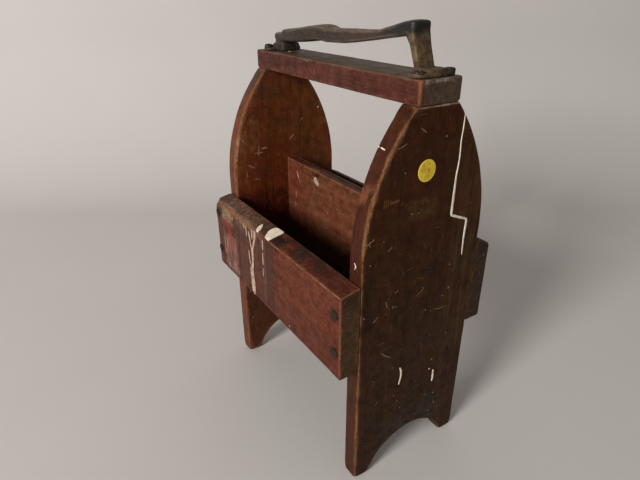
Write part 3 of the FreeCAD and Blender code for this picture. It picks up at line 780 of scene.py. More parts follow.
rail_patches = [
    ((-142, -22, 414.6), (142, 22, 418), 1.2, 0.4, (80, 70, 53), 0.9, SOLID),
    ((-142, -22, 414.6), (142, 22, 418), 1.2, 0.4, (112, 98, 80), 0.6, LENGTHWISE),
    ((-142, -26, 414), (142, 26, 418), 1.5, 0.4, (62, 46, 36), 0.6, None),
    ((60, -26, 394), (141, -22, 418), 30, 3.0, (62, 28, 20), 0.7, LENGTHWISE),
    ((139.2, -20.5, 394), (142, 26, 418), 1.5, 0.5, (74, 62, 50), 0.97, SOLID),
    ((139.2, -19, 396), (142, 26, 418), 2.5, 0.8, (40, 35, 31), 0.75, FLECKED),
    ((139.2, -19, 396), (142, 26, 418), 2.5, 0.8, (112, 100, 88), 0.4, None),
    ((139.4, 6, 394), (142, 26, 418), 4, 1.0, (92, 68, 44), 0.5, CROSSWISE),
    ((139.4, -18, 412.5), (142, 12, 418), 1.5, 0.9, (170, 158, 144), 0.9, None),
]
rail_lines = [
    (chain([(139.8, -22.6, 401), (139.8, -22.6, 415)]), 4.6, 2.0, 0.9, (150, 88, 42), 0.85),
    (chain([(-139, -23, 415.6), (139, -23, 415.6)]), 1.6, 0.9, 0.9, (120, 92, 74), 0.35),
]
back_patches = [
    ((138, 70, 149), (141, 97, 256), 1.0, 0.1, (58, 48, 37), 0.97, SOLID),
    ((138, 70, 149), (141, 97, 256), 1.0, 0.1, (30, 27, 22), 0.7, SAWN),
    ((-140, 93, 150), (139, 97, 245), 24, 3.0, (80, 40, 28), 0.6, LENGTHWISE),
    # Painted shade: dark streaks over the back board's inner face and top edge.
    ((-139, 72, 236), (139, 90, 256), 5, 1.2, (36, 26, 20), 0.8, LENGTHWISE),
]

near_paint = painted_wood(
    "dark_brown_paint", "z", ((58, 31, 14), (52, 31, 13), (32, 20, 10), (80, 53, 30)),
    near_patches, near_lines, 0.75, 0.25, 0.35, 0.5, 0.15, 0.7)
far_paint = painted_wood(
    "brown_paint_far_board", "z", ((102, 52, 25), (100, 44, 21), (66, 34, 16), (132, 82, 52)),
    far_patches, far_lines, 0.9, 0.3, 0.6, 0.5, 0.15, 0.8)
front_paint = painted_wood(
    "red_brown_paint", "x", ((88, 43, 30), (84, 40, 27), (58, 32, 24), (114, 66, 49)),
    front_patches, front_lines, 0.9, 0.05, 0.5, 0.48, 0.2, 0.8)
back_paint = painted_wood(
    "olive_brown_paint", "x", ((60, 42, 27), (66, 37, 23), (36, 26, 18), (88, 62, 42)),
    back_patches, (), 0.9, 0.8, 0.8, 0.55, 0.4)
divider_paint = painted_wood(
    "red_brown_paint_divider", "x", ((100, 59, 40), (98, 53, 36), (70, 41, 27), (130, 86, 62)),
    divider_patches, divider_lines, 0.8, 0.4, 0.5, 0.52, 0.2)
rail_paint = painted_wood(
    "red_brown_paint_rail", "x", ((78, 45, 35), (82, 42, 34), (54, 35, 29), (110, 76, 61)),
    rail_patches, rail_lines, 0.7, 0.5, 0.5, 0.5, 0.2, 0.8)
# Painted shade: the inside paint is darkened to stand in for the shade inside the box.
inner_paint_and_shade = painted_wood(
    "red_brown_paint_and_shade_inside", "x", ((34, 20, 13), (37, 21, 14), (22, 14, 9), (56, 36, 26)),
    (), (), 0.8, 0.6, 0.6, 0.6, 0.4)
iron = iron_material()
nail_steel = steel_material("browned_nail_steel", srgb(24, 18, 14), srgb(40, 25, 17), 0.8, 0.1)
screw_steel = steel_material("dark_screw_steel", srgb(38, 37, 31), srgb(50, 42, 32), 0.5, 0.2)
cream = paint_mark_material("cream_paint", CREAM, srgb(206, 188, 166), srgb(160, 134, 112))
thin_cream = paint_mark_material("thin_cream_paint", srgb(176, 158, 140), srgb(142, 118, 100),
                                 srgb(96, 62, 48))
scuff = paint_mark_material("scuffed_wood", srgb(120, 94, 66), srgb(84, 63, 43),
                            srgb(58, 37, 22))
dull_fleck = paint_mark_material("dulled_fleck_paint", srgb(138, 118, 96), srgb(106, 84, 64),
                                 srgb(64, 42, 28))
label_paper = label_material()

# --------------------------------------------------------------------------- boards
END_DEEP = 19
LONG_LOW, LONG_RUN = -139, 278


def near_wear(p, x, y, z):
    width = 0.1 + 1.8 * fractal(p, 14, 5)
    front = smooth(y, -12, -24) * smooth(x, 126, 136)
    width += (1.2 + 2.0 * smooth(z, 280, 330) * smooth(z, 394, 376) + smooth(z, 120, 30)) * front
    return width + 2.0 * smooth(z, 14, 0) + 0.6 * smooth(y, -60, -70)


def far_wear(p, x, y, z):
    width = 0.4 + 2.2 * fractal(p, 14, 7)
    width += 2.0 * smooth(y, -15, -35) * smooth(x, -128, -121)
    return width + 3.0 * smooth(z, 16, 0)


def end_radius(p, x, y, z):
    radius = 1.1 + 0.6 * fractal(p, 14, 21)
    radius += 2.6 * smooth(z, 10, 0) + 0.7 * smooth(y, -50, -70)
    radius += 1.1 * smooth(z, 240, 300) * smooth(y, 0, -20)
    return np.where(z > 388, np.minimum(radius, 0.8), radius)


def foot_chips(x_low):
    """Nicks at the feet and down the upright edges of an end board."""
    spots = []
    for side in (-1, 1):
        for x, outward in ((x_low, -1), (x_low + END_DEEP, 1)):
            spots += edge_chips(7, lambda t: (x, side * END_HALF, 8 + 225 * t),
                                (outward, side, 0), (2.5, 6), (0.3, 0.9))
        spots += edge_chips(3, lambda t: (x_low + END_DEEP * t, side * END_HALF, 0),
                            (0, side, -1), (4, 8), (0.8, 2.2))
    return spots


near_board = end_board("near_end_board", 3, near_wear, near_paint, foot_chips(120))
far_board = end_board("far_end_board", 8, far_wear, far_paint, foot_chips(-139))


def front_radius(p, x, y, z):
    radius = 1.6 + 0.7 * fractal(p, 16, 31)
    radius += smooth(y, -88, -94) * smooth(z, 232, 240) * (1.0 + 4.0 * smooth(x, -20, -90))
    return radius + 3.0 * smooth(x, -130, -139) * smooth(z, 226, 240)


def front_wear(p, x, y, z):
    width = 0.2 + 1.8 * fractal(p, 14, 33)
    width += smooth(y, -84, -94) * smooth(z, 226, 240) * 2.4 * smooth(x, -10, -90)
    return width + 0.9 * smooth(np.abs(x), 132, 139)


front_chips = edge_chips(9, lambda t: (LONG_LOW + 90 * t, -94.5, 241.5), (0, -1, 1), (4, 9),
                         (0.6, 1.8))
front_chips += edge_chips(9, lambda t: (LONG_LOW + LONG_RUN * t, -94.5, 151), (0, -1, -1),
                          (3, 6), (0.4, 1.2))
front_board = straight_board("front_side_board", 13, front_wear, front_radius, front_paint,
                             front_chips, (-94.5, 241.5, -72.5, 246))


def plain_wear(p, x, y, z):
    return 0.3 + 1.8 * fractal(p, 14, 37)


back_chips = edge_chips(12, lambda t: (LONG_LOW + LONG_RUN * t, 94.5, 243), (0, 1, 1), (3, 8),
                        (0.4, 1.6))
straight_board("back_side_board", 17, plain_wear,
               lambda p, x, y, z: (1.8 + 0.8 * fractal(p, 16, 35)
                                   + 1.5 * smooth(np.abs(x), 132, 139)),
               back_paint, back_chips, (72.5, 253.5, 94.5, 243))

notch = [(np.array((-52.0, -2.0, 287.5)), 9.0), (np.array((-57.0, -1.0, 286.5)), 5.5)]
notch += edge_chips(6, lambda t: (-115 + 230 * t, 1.8, 285), (0, -1, 1), (3, 6), (0.4, 1.1))
divider = straight_board("divider_board", 19, plain_wear,
                         lambda p, x, y, z: 1.2 + 0.5 * fractal(p, 14, 39),
                         divider_paint, notch, step=2.5)
straight_board("floor_board", 23, plain_wear, lambda p, x, y, z: 1.0 + 0.4 * fractal(p, 14, 43),
               inner_paint_and_shade, step=5.0)


def rail_radius(p, x, y, z):
    return 2.3 + 0.8 * fractal(p, 14, 47) + 0.8 * smooth(np.abs(x), 136, 140)


def rail_wear(p, x, y, z):
    width = -0.2 + 1.8 * fractal(p, 14, 49)
    return width + 2.2 * smooth(np.abs(x), 136, 140.4) * smooth(y, -18, -23)


rail_chips = edge_chips(10, lambda t: (-140 + 280 * t, -23.5, 416), (0, -1, 1), (3, 7),
                        (0.3, 0.9))
rail = straight_board("top_rail", 29, rail_wear, rail_radius, rail_paint, rail_chips)

# --------------------------------------------------------------------------- foot rest
SOLE = np.array([
    (-126, 3, 428.2, 432.6), (-123.5, 7.2, 427.6, 433.2), (-117, 10, 427, 434.6),
    (-99.5, 11.2, 426.4, 436.2), (-98, 12.3, 426.4, 438.9), (-76, 12.8, 427, 440.9),
    (-53, 13.2, 428.9, 443.6), (-29, 13, 432.4, 446.4), (-22, 12.5, 432.4, 445.9),
    (-12, 11.8, 431.5, 443.7), (16, 10.8, 432.4, 444.7), (43, 10, 436, 445.3),
    (65, 9.8, 439.2, 446.2), (73, 10.2, 440.3, 448.4), (86, 11, 442.2, 451.4),
    (100, 11.4, 443.6, 454.9), (107, 11.2, 444.6, 456), (111.5, 10.2, 446, 456),
    (113.5, 8.4, 447.4, 455.4)])
NEAR_LEG = [(415.9, 115.6, 124.4, 9.9), (423.5, 114.0, 121.4, 9.5), (438.5, 107.6, 116.2, 9.7),
            (450, 98.6, 113, 10.7)]
FAR_LEG = [(415.9, -124.5, -99.5, 11), (423.4, -124.2, -99.5, 10.9), (424, -121, -99.5, 10.3),
           (431, -120, -99, 10)]
CROWN = 0.9
RAIL_TOP = 416


def squircle(count, power):
    """Unit outline between a circle (2) and a square (large power)."""
    t = np.arange(count) * 2 * math.pi / count
    return np.stack([np.sign(f) * np.abs(f) ** (2 / power) for f in (np.cos(t), np.sin(t))], 1)


def sole():
    """Heel, waist and toe: (half width, low, top) rings along the casting."""
    rings = []
    for x in np.unique(np.concatenate([SOLE[:, 0], np.arange(-125, 113, 2.0)])):
        half, low, top = (np.interp(x, SOLE[:, 0], SOLE[:, k]) for k in (1, 2, 3))
        across, upward = squircle(48, 6.5).T
        y = across * half
        z = (top + low) / 2 + upward * (top - low) / 2
        z += np.where(upward > 0, CROWN * (1 - (y / half) ** 2), 0)
        rings.append([(x, a, b) for a, b in zip(y, z)])
    return loft(rings)


def leg(table, power):
    """Upright through (height, x low, x high, half width) sections."""
    return loft([[((x0 + x1) / 2 + u * (x1 - x0) / 2, v * half, z) for u, v in
                  squircle(32, power)] for z, x0, x1, half in table])


def flange(middle, half_x, half_y, high, power):
    """Oval plate on the rail with an eased top edge."""
    return loft([[(middle + u * (half_x - inset), v * (half_y - inset), RAIL_TOP + rise)
                  for u, v in squircle(48, power)] for rise, inset in
                 ((-0.1, 0), (high - 0.9, 0), (high - 0.25, 0.3), (high, 1.0))])


cast = [sole(), leg(NEAR_LEG, 5), leg(FAR_LEG, 4)]
for middle, half_x, screw_y in ((127.5, 9.5, 16.6), (-118.5, 8.5, 17.6)):
    cast.append(flange(middle, half_x, 23.0, 3.6, 2.9))
    cast.append(flange(middle, half_x, screw_y - 5.7, 6.2, 2.6))
foot_rest = make_mesh("foot_rest_cast", *joined(cast))
remesh = foot_rest.modifiers.new("cast", "REMESH")
remesh.mode, remesh.voxel_size = "VOXEL", 0.0008
soften = foot_rest.modifiers.new("soften", "SMOOTH")
soften.factor, soften.iterations = 0.5, 2
# The mesh is replaced by its evaluated form, with no modifier left.
graph = bpy.context.evaluated_depsgraph_get()
mesh = bpy.data.meshes.new_from_object(foot_rest.evaluated_get(graph))
foot_rest.modifiers.clear()
old, foot_rest.data = foot_rest.data, mesh
mesh.name = foot_rest.name
bpy.data.meshes.remove(old)
shape, outward = vertex_array(mesh, "co") / MM, vertex_array(mesh, "normal")
links = np.empty(len(mesh.edges) * 2, int)
mesh.edges.foreach_get("vertices", links)
links = links.reshape(-1, 2)


def neighbour_mean(values):
    """Mean of the values at each vertex's neighbours."""
    total, count = np.zeros_like(values), np.zeros(len(values))
    for a, b in ((0, 1), (1, 0)):
        np.add.at(total, links[:, a], values[links[:, b]])
        np.add.at(count, links[:, a], 1)
    return (total.T / count).T


# Sand-cast unevenness, always inward, and a faint ridge measure for the rubbed edges and their
# painted highlight.
hollow = 0.14 * (0.5 + 0.5 * fractal(shape, 7, 51)) + 0.10 * (
    0.5 + 0.5 * value_noise(shape, 2.2, 53))
bulge = ((shape - neighbour_mean(shape)) * outward).sum(1)
for _ in range(10):
    bulge = 0.5 * bulge + 0.5 * neighbour_mean(bulge)
ridge = np.clip(bulge / 0.035, 0, 1) * smooth(shape[:, 2], 424, 436)
shape = shape - outward * hollow[:, None]
mesh.vertices.foreach_set("co", (shape * MM).ravel().astype(np.float32))
add_floats(mesh, "ridge", ridge)
mesh.polygons.foreach_set("use_smooth", [True] * len(mesh.polygons))
mesh.update()
place(foot_rest, iron, "cast_iron", "foot_rest")

# --------------------------------------------------------------------------- heads
SLOT_DEEP, SLOT_FLOOR = 1.15, 0.3


def head(centre, out, radius, rise, seed, shank, slot=None, dent=0.12):
    """Nail or screw: domed head standing rise above centre along out, over a shank."""
    outward = Vector(out).normalized()
    side = outward.orthogonal().normalized()
    across = outward.cross(side)
    spin = np.random.default_rng(seed).uniform(0, math.pi)
    side, across = (side * math.cos(spin) + across * math.sin(spin),
                    across * math.cos(spin) - side * math.sin(spin))
    n = 17
    lines = np.linspace(-0.985, 0.985, n)
    if slot:
        half_slot = slot / radius / 2
        lines = np.array(sorted(list(lines[np.abs(lines) > half_slot + 0.06])
                                + [-half_slot - 0.02, -half_slot, half_slot, half_slot + 0.02]))
    points = []
    for u in lines:
        for v in np.linspace(-1, 1, n):
            a, b = u, v * math.sqrt(1 - u * u)
            r2 = min(1.0, a * a + b * b)
            high = rise * (0.42 + 0.58 * math.sqrt(max(0.0, 1 - r2 ** 1.25)))
            if slot and abs(u) <= half_slot + 1e-6:
                high = max(high - SLOT_DEEP, SLOT_FLOOR)
            high -= dent * (0.5 + 0.5 * value_noise(np.array([(a * 3 + seed, b * 3, 0.5)]), 1,
                                                    seed)[0])
            wobble = 1 + 0.025 * math.sin(3 * math.atan2(b, a) + seed)
            points.append((a * radius * wobble, b * radius * wobble, high))
    m = len(lines)
    faces = [(i * n + j, (i + 1) * n + j, (i + 1) * n + j + 1, i * n + j + 1)
             for i in range(m - 1) for j in range(n - 1)]
    rim = [*range(n), *(i * n + n - 1 for i in range(1, m)),
           *((m - 1) * n + j for j in range(n - 2, -1, -1)), *(i * n for i in range(m - 2, 0, -1))]
    ring = rim
    for depth, scale in ((0.0, 1.0), (-0.4, 1.0), (-0.41, shank[0] / radius),
                         (-shank[1], shank[0] / radius * 0.8)):
        new = list(range(len(points), len(points) + len(rim)))
        for x, y, _ in [points[k] for k in rim]:
            grow = radius * scale / max(math.hypot(x, y), 1e-6) if scale < 1 else 1
            points.append((x * grow, y * grow, depth))
        for k in range(len(ring)):
            q = (k + 1) % len(ring)
            faces.append((ring[q], ring[k], new[k], new[q]))
        ring = new
    faces.append(tuple(ring))
    centre = Vector(centre)
    return [tuple(centre + side * x + across * y + outward * z) for x, y, z in points], faces


NAIL_SHANK, SCREW_SHANK = (1.5, 40), (2.1, 18)
FRONT_NAILS = [(129.5, 220.0), (130.5, 179.0), (-133.5, 225.0), (-134.0, 174.0)]
BACK_NAILS = [(129.5, 226.0), (130.0, 178.0), (-130.0, 226.0), (-129.5, 178.0)]
SCREWS = [(130.5, 16.6), (130.5, -16.6), (-119.5, 17.6), (-119.5, -17.6)]
closed_piece("front_board_nail_heads",
             [head((x, -94.4, z), (0, -1, 0), 4.6, 1.3, 61 + i, NAIL_SHANK)
              for i, (x, z) in enumerate(FRONT_NAILS)],
             nail_steel, "fastener_steel", "front_board_nails")
closed_piece("back_board_nail_heads",
             [head((x, 94.4, z), (0, 1, 0), 4.1, 1.5, 71 + i, NAIL_SHANK)
              for i, (x, z) in enumerate(BACK_NAILS)],
             nail_steel, "fastener_steel", "back_board_nails")
closed_piece("foot_rest_screw_heads",
             [head((x, y, 419.5), (0, 0, 1), 4.8, 2.2 if x > 0 else 3.6, 81 + i, SCREW_SHANK,
                   1.1, 0.08) for i, (x, y) in enumerate(SCREWS)],
             screw_steel, "fastener_steel", "foot_rest_screws")

# --------------------------------------------------------------------------- spilled paint


class Skin:
    """Worn surface of a finished board, in mm, for laying thin things on."""

    def __init__(self, obj):
        self.tree = BVHTree.FromPolygons(
            [tuple(c) for c in vertex_array(obj.data, "co") / MM],
            [tuple(p.vertices) for p in obj.data.polygons])

    def at(self, point, lift):
        where, normal, _, _ = self.tree.find_nearest(Vector(point))
        return tuple(where + normal * lift)


def through(points, per=6):
    """Smooth curve through the points (Catmull-Rom), values of any width."""
    p = np.array(points, float)
    p = np.vstack([2 * p[0] - p[1], p, 2 * p[-1] - p[-2]])
    out = []
    for i in range(1, len(p) - 2):
        for t in np.arange(per) / per:
            out.append(0.5 * (2 * p[i] + (p[i + 1] - p[i - 1]) * t
                              + (2 * p[i - 1] - 5 * p[i] + 4 * p[i + 1] - p[i + 2]) * t * t
                              + (3 * p[i] - p[i - 1] - 3 * p[i + 1] + p[i + 2]) * t ** 3))
    out.append(p[-2])
    return np.array(out)


SECTION = ((-1, -0.12), (-0.86, 0.45), (-0.5, 0.9), (0, 1), (0.5, 0.9), (0.86, 0.45), (1, -0.12),
           (0.7, -0.9), (-0.7, -0.9))


def ribbon(skin, path, outward, thick=0.4):
    """Run of paint along path rows (x, y, z, width), as a thin closed solid."""
    rows = through(path)
    where, width = rows[:, :3], rows[:, 3]
    length = np.concatenate([[0], np.cumsum(np.linalg.norm(np.diff(where, axis=0), axis=1))])
    end = np.minimum(length, length[-1] - length)
    taper = np.sqrt(np.clip(end / np.maximum(width * 0.6, 0.3), 0.02, 1))
    wave = 1 + 0.16 * value_noise(where, 4, 91)
    width = np.maximum(width * taper * wave, 0.12)
    side = np.cross(np.gradient(where, axis=0), np.array(outward, float))
    side /= np.linalg.norm(side, axis=1)[:, None]
    return loft([[skin.at(where[k] + side[k] * across * width[k] / 2,
                          lift * thick * min(1, 0.4 + taper[k])) for across, lift in SECTION]
                 for k in range(len(where))])


def blob(skin, outline, thick=0.5, seed=5):
    """Splash of paint inside a closed outline of mm points, as a thin closed solid."""
    ring = through(list(outline) + [outline[0]], 7)[:-1]
    middle = ring.mean(0)
    wave = 1 + 0.04 * value_noise(ring, 2.5, seed)
    ring = middle + (ring - middle) * wave[:, None]
    return loft([[skin.at(middle + (p - middle) * scale, lift * thick) for p in ring]
                 for scale, lift in ((0.02, -0.8), (0.9, -0.8), (1.0, -0.1), (0.985, 0.45),
                                     (0.93, 0.85), (0.8, 1.0), (0.5, 0.95), (0.25, 0.9),
                                     (0.02, 0.9))])


near_skin, far_skin, front_skin = Skin(near_board), Skin(far_board), Skin(front_board)
divider_skin, rail_skin = Skin(divider), Skin(rail)


def near_run(rows, thick=0.4):
    """Run of paint down the near board's face through (y, z, width) rows."""
    return ribbon(near_skin, [(NEAR_X, *row) for row in rows], (1, 0, 0), thick)


def near_dot(y, z, radius):
    """Fleck of paint on the near board."""
    return blob(near_skin, [(NEAR_X, y + radius * math.cos(t), z + 1.15 * radius * math.sin(t))
                            for t in np.arange(7) * 2 * math.pi / 7], 0.25, 9)


LONG_LINE = [
    (32, 390, 1.0), (32.2, 374, 1.4), (31.4, 361, 1.4), (31.9, 347.5, 1.6), (31.5, 338, 1.8),
    (30.5, 329, 2.0), (30.4, 315, 2.8), (30.2, 300, 3.0), (30.2, 294, 3.0), (30.4, 291, 2.8),
    (32, 289.4, 2.6), (36, 287.8, 2.6), (41.2, 285.6, 2.6), (48, 282.8, 2.4), (51, 281.4, 2.6),
    (52.2, 279.8, 2.8), (52.2, 277, 2.8), (52, 272, 2.8), (51.7, 260.5, 2.4), (52.2, 241.5, 1.4)]
EDGE_MARKS = [
    ([(119.8, -46.3, 363.9, 0.9), (121, -46.4, 363.6, 1.2), (122.4, -46.6, 363.3, 0.9)], 0.6),
    ([(123.9, -46.5, 363.5, 0.9), (127, -46.7, 363.2, 1.4), (130.2, -46.9, 362.8, 0.9)], 0.6),
    ([(127.1, -72.5, 265.4, 0.8), (128.6, -72.5, 263.6, 1.0), (130.2, -72.5, 261.9, 0.8)], 0),
    ([(129.4, -72.5, 263.4, 0.8), (128.7, -72.5, 261.2, 1.1), (128.2, -72.5, 258.9, 0.9)], 0)]
closed_piece("paint_line_near_board",
             [near_run(LONG_LINE),
              near_run([(-18.6, 131.5, 1.6), (-16.6, 126, 2.4), (-16.2, 119, 2.6),
                        (-17.4, 113, 2.0), (-18.6, 108.5, 1.2)]),
              near_run([(31.4, 105.5, 2.2), (31.8, 100, 2.8), (32, 93, 2.4),
                        (31.2, 88.5, 1.8)]),
              *(ribbon(near_skin, path, (0, -1, rise), 0.3) for path, rise in EDGE_MARKS)],
             cream, "dark_painted_wood")
closed_piece("paint_flecks_near_board",
             [near_dot(*spot) for spot in (
                 (39.1, 208.2, 0.9), (27, 121.5, 0.8), (35.7, 69.3, 0.8), (22.4, 73.6, 0.7),
                 (39.1, 53.2, 0.9), (38.2, 55.6, 0.5), (-18.7, 85.7, 0.6), (-13.8, 73.8, 0.6),
                 (12.9, 367.3, 0.7), (-19.9, 303.5, 0.8), (-11.6, 302.4, 0.6),
                 (9.6, 192, 0.6), (16.7, 188.4, 0.6), (3, 220.4, 0.5), (-31, 342.8, 0.6),
                 (-61.5, 289.4, 0.7), (-24, 96, 0.5), (44, 150, 0.5), (31, 45, 0.6))],
             dull_fleck, "dark_painted_wood")
NEAR_SCUFFS = [
    [(-45.3, 161.9, 0.7), (-38.5, 155.2, 1.3), (-31.1, 150.4, 0.9)],
    [(-57.4, 202.6, 0.8), (-54.6, 204.8, 1.2), (-52, 207.7, 0.7)],
    [(-33.1, 226.2, 0.7), (-28.4, 228.6, 0.8)],
    [(-4.7, 213.7, 0.6), (0, 216.2, 0.9), (4.2, 219, 0.6)],
    [(-43.3, 221, 0.8), (-42.2, 217, 1.5), (-41.4, 213.2, 0.7)],
    [(-35, 213.5, 0.6), (-34.7, 209.8, 0.6)], [(-35, 212, 0.5), (-27.9, 209.9, 0.6)],
    [(21, 188.7, 0.6), (29, 186.4, 0.9), (37.2, 187.5, 0.6)],
    [(-17.5, 378.2, 0.7), (-14, 375.9, 1.2), (-11, 373.6, 0.8)],
    [(-41.3, 364.4, 0.6), (-36, 365.8, 1.1), (-31.1, 367.7, 0.8)],
    [(-68.3, 285.5, 0.9), (-65, 287.6, 1.3), (-62.1, 289, 0.7)],
    [(-66.4, 287.6, 0.7), (-64.2, 283.2, 0.8)],
    [(-45, 273.5, 0.7), (-42.4, 275.2, 1.0), (-40.1, 277.5, 0.6)],
    [(-55.5, 131.5, 0.6), (-51.5, 128.4, 0.8)], [(-30, 133, 0.5), (-27.5, 137, 0.7)],
    [(8, 152, 0.5), (10.2, 147, 0.7)], [(-49, 96, 0.6), (-46, 99.5, 0.7)]]
FAR_SCUFFS = [
    [(-34.2, 301.6, 1.2), (-29.6, 301.5, 2.0), (-25.1, 301, 1.0)],
    [(-43.8, 296.4, 0.8), (-38.3, 296.5, 1.4), (-32, 296.3, 1.0)],
    [(6.3, 307.2, 0.9), (9.8, 310.5, 1.5), (13.3, 313.2, 0.8)],
    [(-37.7, 305.3, 0.7), (-38.1, 299, 1.0), (-39.1, 292.8, 0.7)],
    [(-53, 283.6, 0.9), (-49.1, 280.3, 1.5), (-43.7, 277.9, 0.9)],
    [(-45.5, 262.4, 0.8), (-41.9, 263, 1.4), (-37.8, 260.1, 0.9)],
    [(-56.4, 275.1, 0.7), (-55.6, 267, 1.3)], [(22.2, 328.4, 0.7), (26.8, 332.9, 1.0)],
    [(-60, 318, 0.9), (-57.5, 312, 1.4)], [(-48, 340, 0.7), (-45.5, 336, 1.2)]]
closed_piece("scuffs_far_board",
             [ribbon(far_skin, [(-120, *row) for row in path], (1, 0, 0), 0.16)
              for path in FAR_SCUFFS], dull_fleck, "dark_painted_wood")
closed_piece("scuffs_near_board", [near_run(path, 0.16) for path in NEAR_SCUFFS], scuff,
             "dark_painted_wood")
BEVEL = (246 - 241.5) / 22


def on_bevel(points):
    return [(x, y, 241.5 + (y + 94.5) * BEVEL) for x, y in points]


RUNS = [
    ([(-27.5, 240.5, 4.3), (-28.5, 234, 5.6), (-30, 228, 3.6), (-33, 221, 4.3), (-36, 214, 3.6),
      (-37.2, 207, 5.6), (-37.4, 199, 4.3), (-38.6, 193, 5.6), (-40.5, 187, 5.6),
      (-41.5, 180, 8.2), (-41.3, 174, 9.2), (-40.6, 168, 11.2), (-40.4, 162, 10.2),
      (-40.2, 156.6, 8.9), (-37.8, 151.5, 4.3)], 0.45),
    ([(-44.5, 234, 2.1), (-43, 228, 3.3), (-41, 220, 2.3), (-39, 211, 3.0), (-38, 205, 2.0)],
     0.3),
    ([(-47, 208, 1.5), (-46.4, 202, 2.5), (-45.2, 194, 1.8), (-44, 190, 1.0)], 0.3),
    ([(-52, 237, 1.8), (-50.5, 231, 2.3), (-49.6, 225, 1.2)], 0.3),
    ([(-57, 239.5, 2.1), (-56.2, 232, 1.5)], 0.3),
    ([(-34.5, 239.5, 2.3), (-35.5, 232, 3.1), (-36, 226, 1.6)], 0.3),
    ([(-44.8, 187, 1.5), (-45, 180, 2.3), (-43.8, 171, 1.5)], 0.3),
    ([(-8.9, 237, 2.3), (-9.4, 230, 3.3), (-9.5, 224, 2.0)], 0.35),
    ([(-10, 221, 1.3), (-10.4, 212, 2.1), (-10.6, 205, 1.2)], 0.3),
    ([(-11.2, 201, 1.2), (-11.6, 195, 1.6), (-11.8, 190, 1.0)], 0.3),
    ([(44.6, 158, 1.3), (46, 155.2, 1.5)], 0.25)]
closed_piece("paint_runs_front_board",
             [ribbon(front_skin, [(x, FRONT_Y, z, w) for x, z, w in path], (0, -1, 0), thick)
              for path, thick in RUNS], thin_cream, "red_painted_wood")
closed_piece("paint_blobs_front_board", [
    blob(front_skin, on_bevel([
        (-20, -94.3), (-24, -93.6), (-27, -91.6), (-30, -88.4), (-31, -85.3), (-31, -81.5),
        (-28, -83.2), (-25.6, -85), (-22, -88.5), (-21, -91.6)]), 0.45, 3),
    blob(front_skin, on_bevel([
        (1.6, -94.3), (-4.7, -92.7), (-10.2, -87.4), (-13.1, -82), (-12.8, -77.3), (-9, -74),
        (-3.3, -73.2), (3, -73.2), (4.8, -77), (4.9, -82), (5, -87), (5, -91.8), (4.4, -94.2)]),
        0.5, 4)], cream, "red_painted_wood")
closed_piece("paint_spots_divider", [
    blob(divider_skin, [(x, 1.8, z) for x, z in (
        (-55.5, 274.5), (-53, 277), (-49.5, 276), (-46, 272.5), (-44.5, 268.5), (-47, 266.5),
        (-51, 268), (-54.5, 270.5))], 0.4, 6),
    ribbon(divider_skin, [(-96, 1.8, 272, 0.8), (-93.5, 1.8, 267, 1.2), (-91.5, 1.8, 263, 0.7)],
           (0, -1, 0), 0.25)], thin_cream, "red_painted_wood")
closed_piece("paint_spot_rail", [
    blob(rail_skin, [(x, y, RAIL_TOP) for x, y in (
        (-98.2, -4.4), (-99, -2.6), (-97.4, -0.8), (-94.8, -1.2), (-94.2, -3.2), (-96, -4.8))],
        0.35, 7)], thin_cream, "red_painted_wood")

# --------------------------------------------------------------------------- label
LABEL_R, LABEL_Y, LABEL_Z = 10.0, -6.7, 340.4
rings, rim_values = [], []
angles = np.arange(64) * 2 * math.pi / 64
edge_wave = 1 + 0.006 * value_noise(np.stack([np.cos(angles) * 3, np.sin(angles) * 3,
                                              angles * 0], 1), 1, 95)
for scale, lift in ((0.03, -0.3), (0.97, -0.3), (1.0, 0.0), (1.0, 0.16), (0.985, 0.26),
                    (0.95, 0.28), (0.85, 0.3), (0.7, 0.32), (0.5, 0.36), (0.25, 0.36),
                    (0.03, 0.36)):
    # One side of the paper has let go of the wood a little.
    peel = 0.35 * np.clip(np.cos(angles - 2.2), 0, 1) ** 3 * max(0, scale - 0.6) / 0.4
    rings.append([near_skin.at((NEAR_X, LABEL_Y + math.cos(t) * LABEL_R * scale * w,
                                LABEL_Z + math.sin(t) * LABEL_R * scale * w),
                               lift + (p if lift > 0 else 0))
                  for t, w, p in zip(angles, edge_wave, peel)])
    rim_values += [scale] * 64
label = make_mesh("round_label_paper", *loft(rings), rim=rim_values)
place(label, label_paper, "label_paper", "round_label")

# CAD nodes that stay in view: flush nail heads in the rail and painted-over brads.
for node, material in (("rail_nails", nail_steel), ("floor_nails", near_paint),
                       ("divider_nails", near_paint)):
    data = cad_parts[node].data
    data.materials.clear()
    data.materials.append(material)

# --------------------------------------------------------------------------- camera
AZIMUTH, ELEVATION, ROLL = (math.radians(v) for v in (57.22, 26.65, -0.33))
camera_data = bpy.data.cameras.new("camera")
camera_data.sensor_width, camera_data.lens = 36.0, 27.99
camera_data.clip_start = 0.01
camera = bpy.data.objects.new("camera", camera_data)
bpy.context.scene.collection.objects.link(camera)
back = Vector((math.sin(AZIMUTH) * math.cos(ELEVATION), -math.cos(AZIMUTH) * math.cos(ELEVATION),
               math.sin(ELEVATION)))
right = (-back).cross(Vector((0, 0, 1))).normalized()
up = right.cross(-back)
right, up = (right * math.cos(ROLL) + up * math.sin(ROLL),
             up * math.cos(ROLL) - right * math.sin(ROLL))
turn = Matrix((right, up, back)).transposed().to_4x4()
camera.matrix_world = Matrix.Translation((0.42900, -0.30191, 0.47775)) @ turn
bpy.context.scene.camera = camera

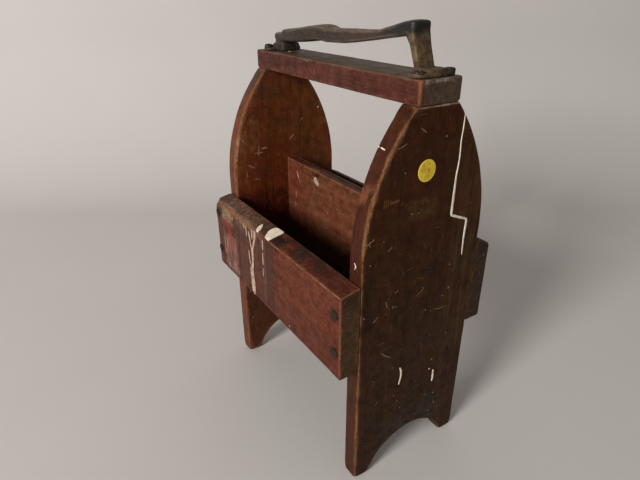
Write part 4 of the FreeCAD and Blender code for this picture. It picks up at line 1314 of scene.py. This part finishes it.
# --------------------------------------------------------------------------- studio
KEY_AT, KEY_AIM = Vector((0.88, -2.98, 1.56)), Vector((0, 0, 0.22))
light = bpy.data.lights.new("key", "AREA")
light.shape, light.size, light.energy = "DISK", 1.05, 114.0
light.color = (1.0, 0.965, 0.93)
key = bpy.data.objects.new("key", light)
bpy.context.scene.collection.objects.link(key)
key.location = KEY_AT
key.rotation_euler = (KEY_AIM - KEY_AT).to_track_quat("-Z", "Y").to_euler()
world = bpy.data.worlds.new("studio")
world.use_nodes = True
sky = world.node_tree.nodes["Background"].inputs
sky[0].default_value, sky[1].default_value = (1.0, 0.975, 0.95, 1), 0.30
bpy.context.scene.world = world
bpy.context.scene.view_settings.view_transform = "Standard"

# Paper sweep: a flat sheet that curves up into a wall behind the object.
WALL, CURVE = 0.96, 0.38
away = Vector((-math.sin(AZIMUTH), math.cos(AZIMUTH), 0))
across = Vector((away.y, -away.x, 0))
profile = [(-6.0, 0.0)]
profile += [(d, 0.0) for d in np.linspace(-3.0, WALL - CURVE, 12)]
profile += [(WALL - CURVE + CURVE * math.sin(a), CURVE - CURVE * math.cos(a))
            for a in np.linspace(0, math.pi / 2, 24)[1:]]
profile += [(WALL, height) for height in (1.2, 2.4, 3.6, 8.0, 20.0)]
lanes = 40 * np.linspace(-1, 1, 25) ** 3
sweep_points = []
for d, z in profile:
    for lane in lanes:
        spot = away * d + across * lane
        sweep_points.append((spot.x / MM, spot.y / MM, z / MM))
wide = len(lanes)
sweep_faces = [(a + j, a + wide + j, a + wide + j + 1, a + j + 1)
               for a in range(0, (len(profile) - 1) * wide, wide) for j in range(wide - 1)]
sweep = make_mesh("studio_floor", sweep_points, sweep_faces)
paper = Shader("pale_paper")
tone = paper.mix(paper.noise(paper.place, 3, 4, 0.6), srgb(202, 198, 195), srgb(194, 190, 187))
grain = paper.bump(paper.noise(paper.place, 300, 3, 0.6), 0.1, 0.0004)
sweep.data.materials.append(paper.finish(tone, 0.9, grain))

bpy.context.view_layer.update()
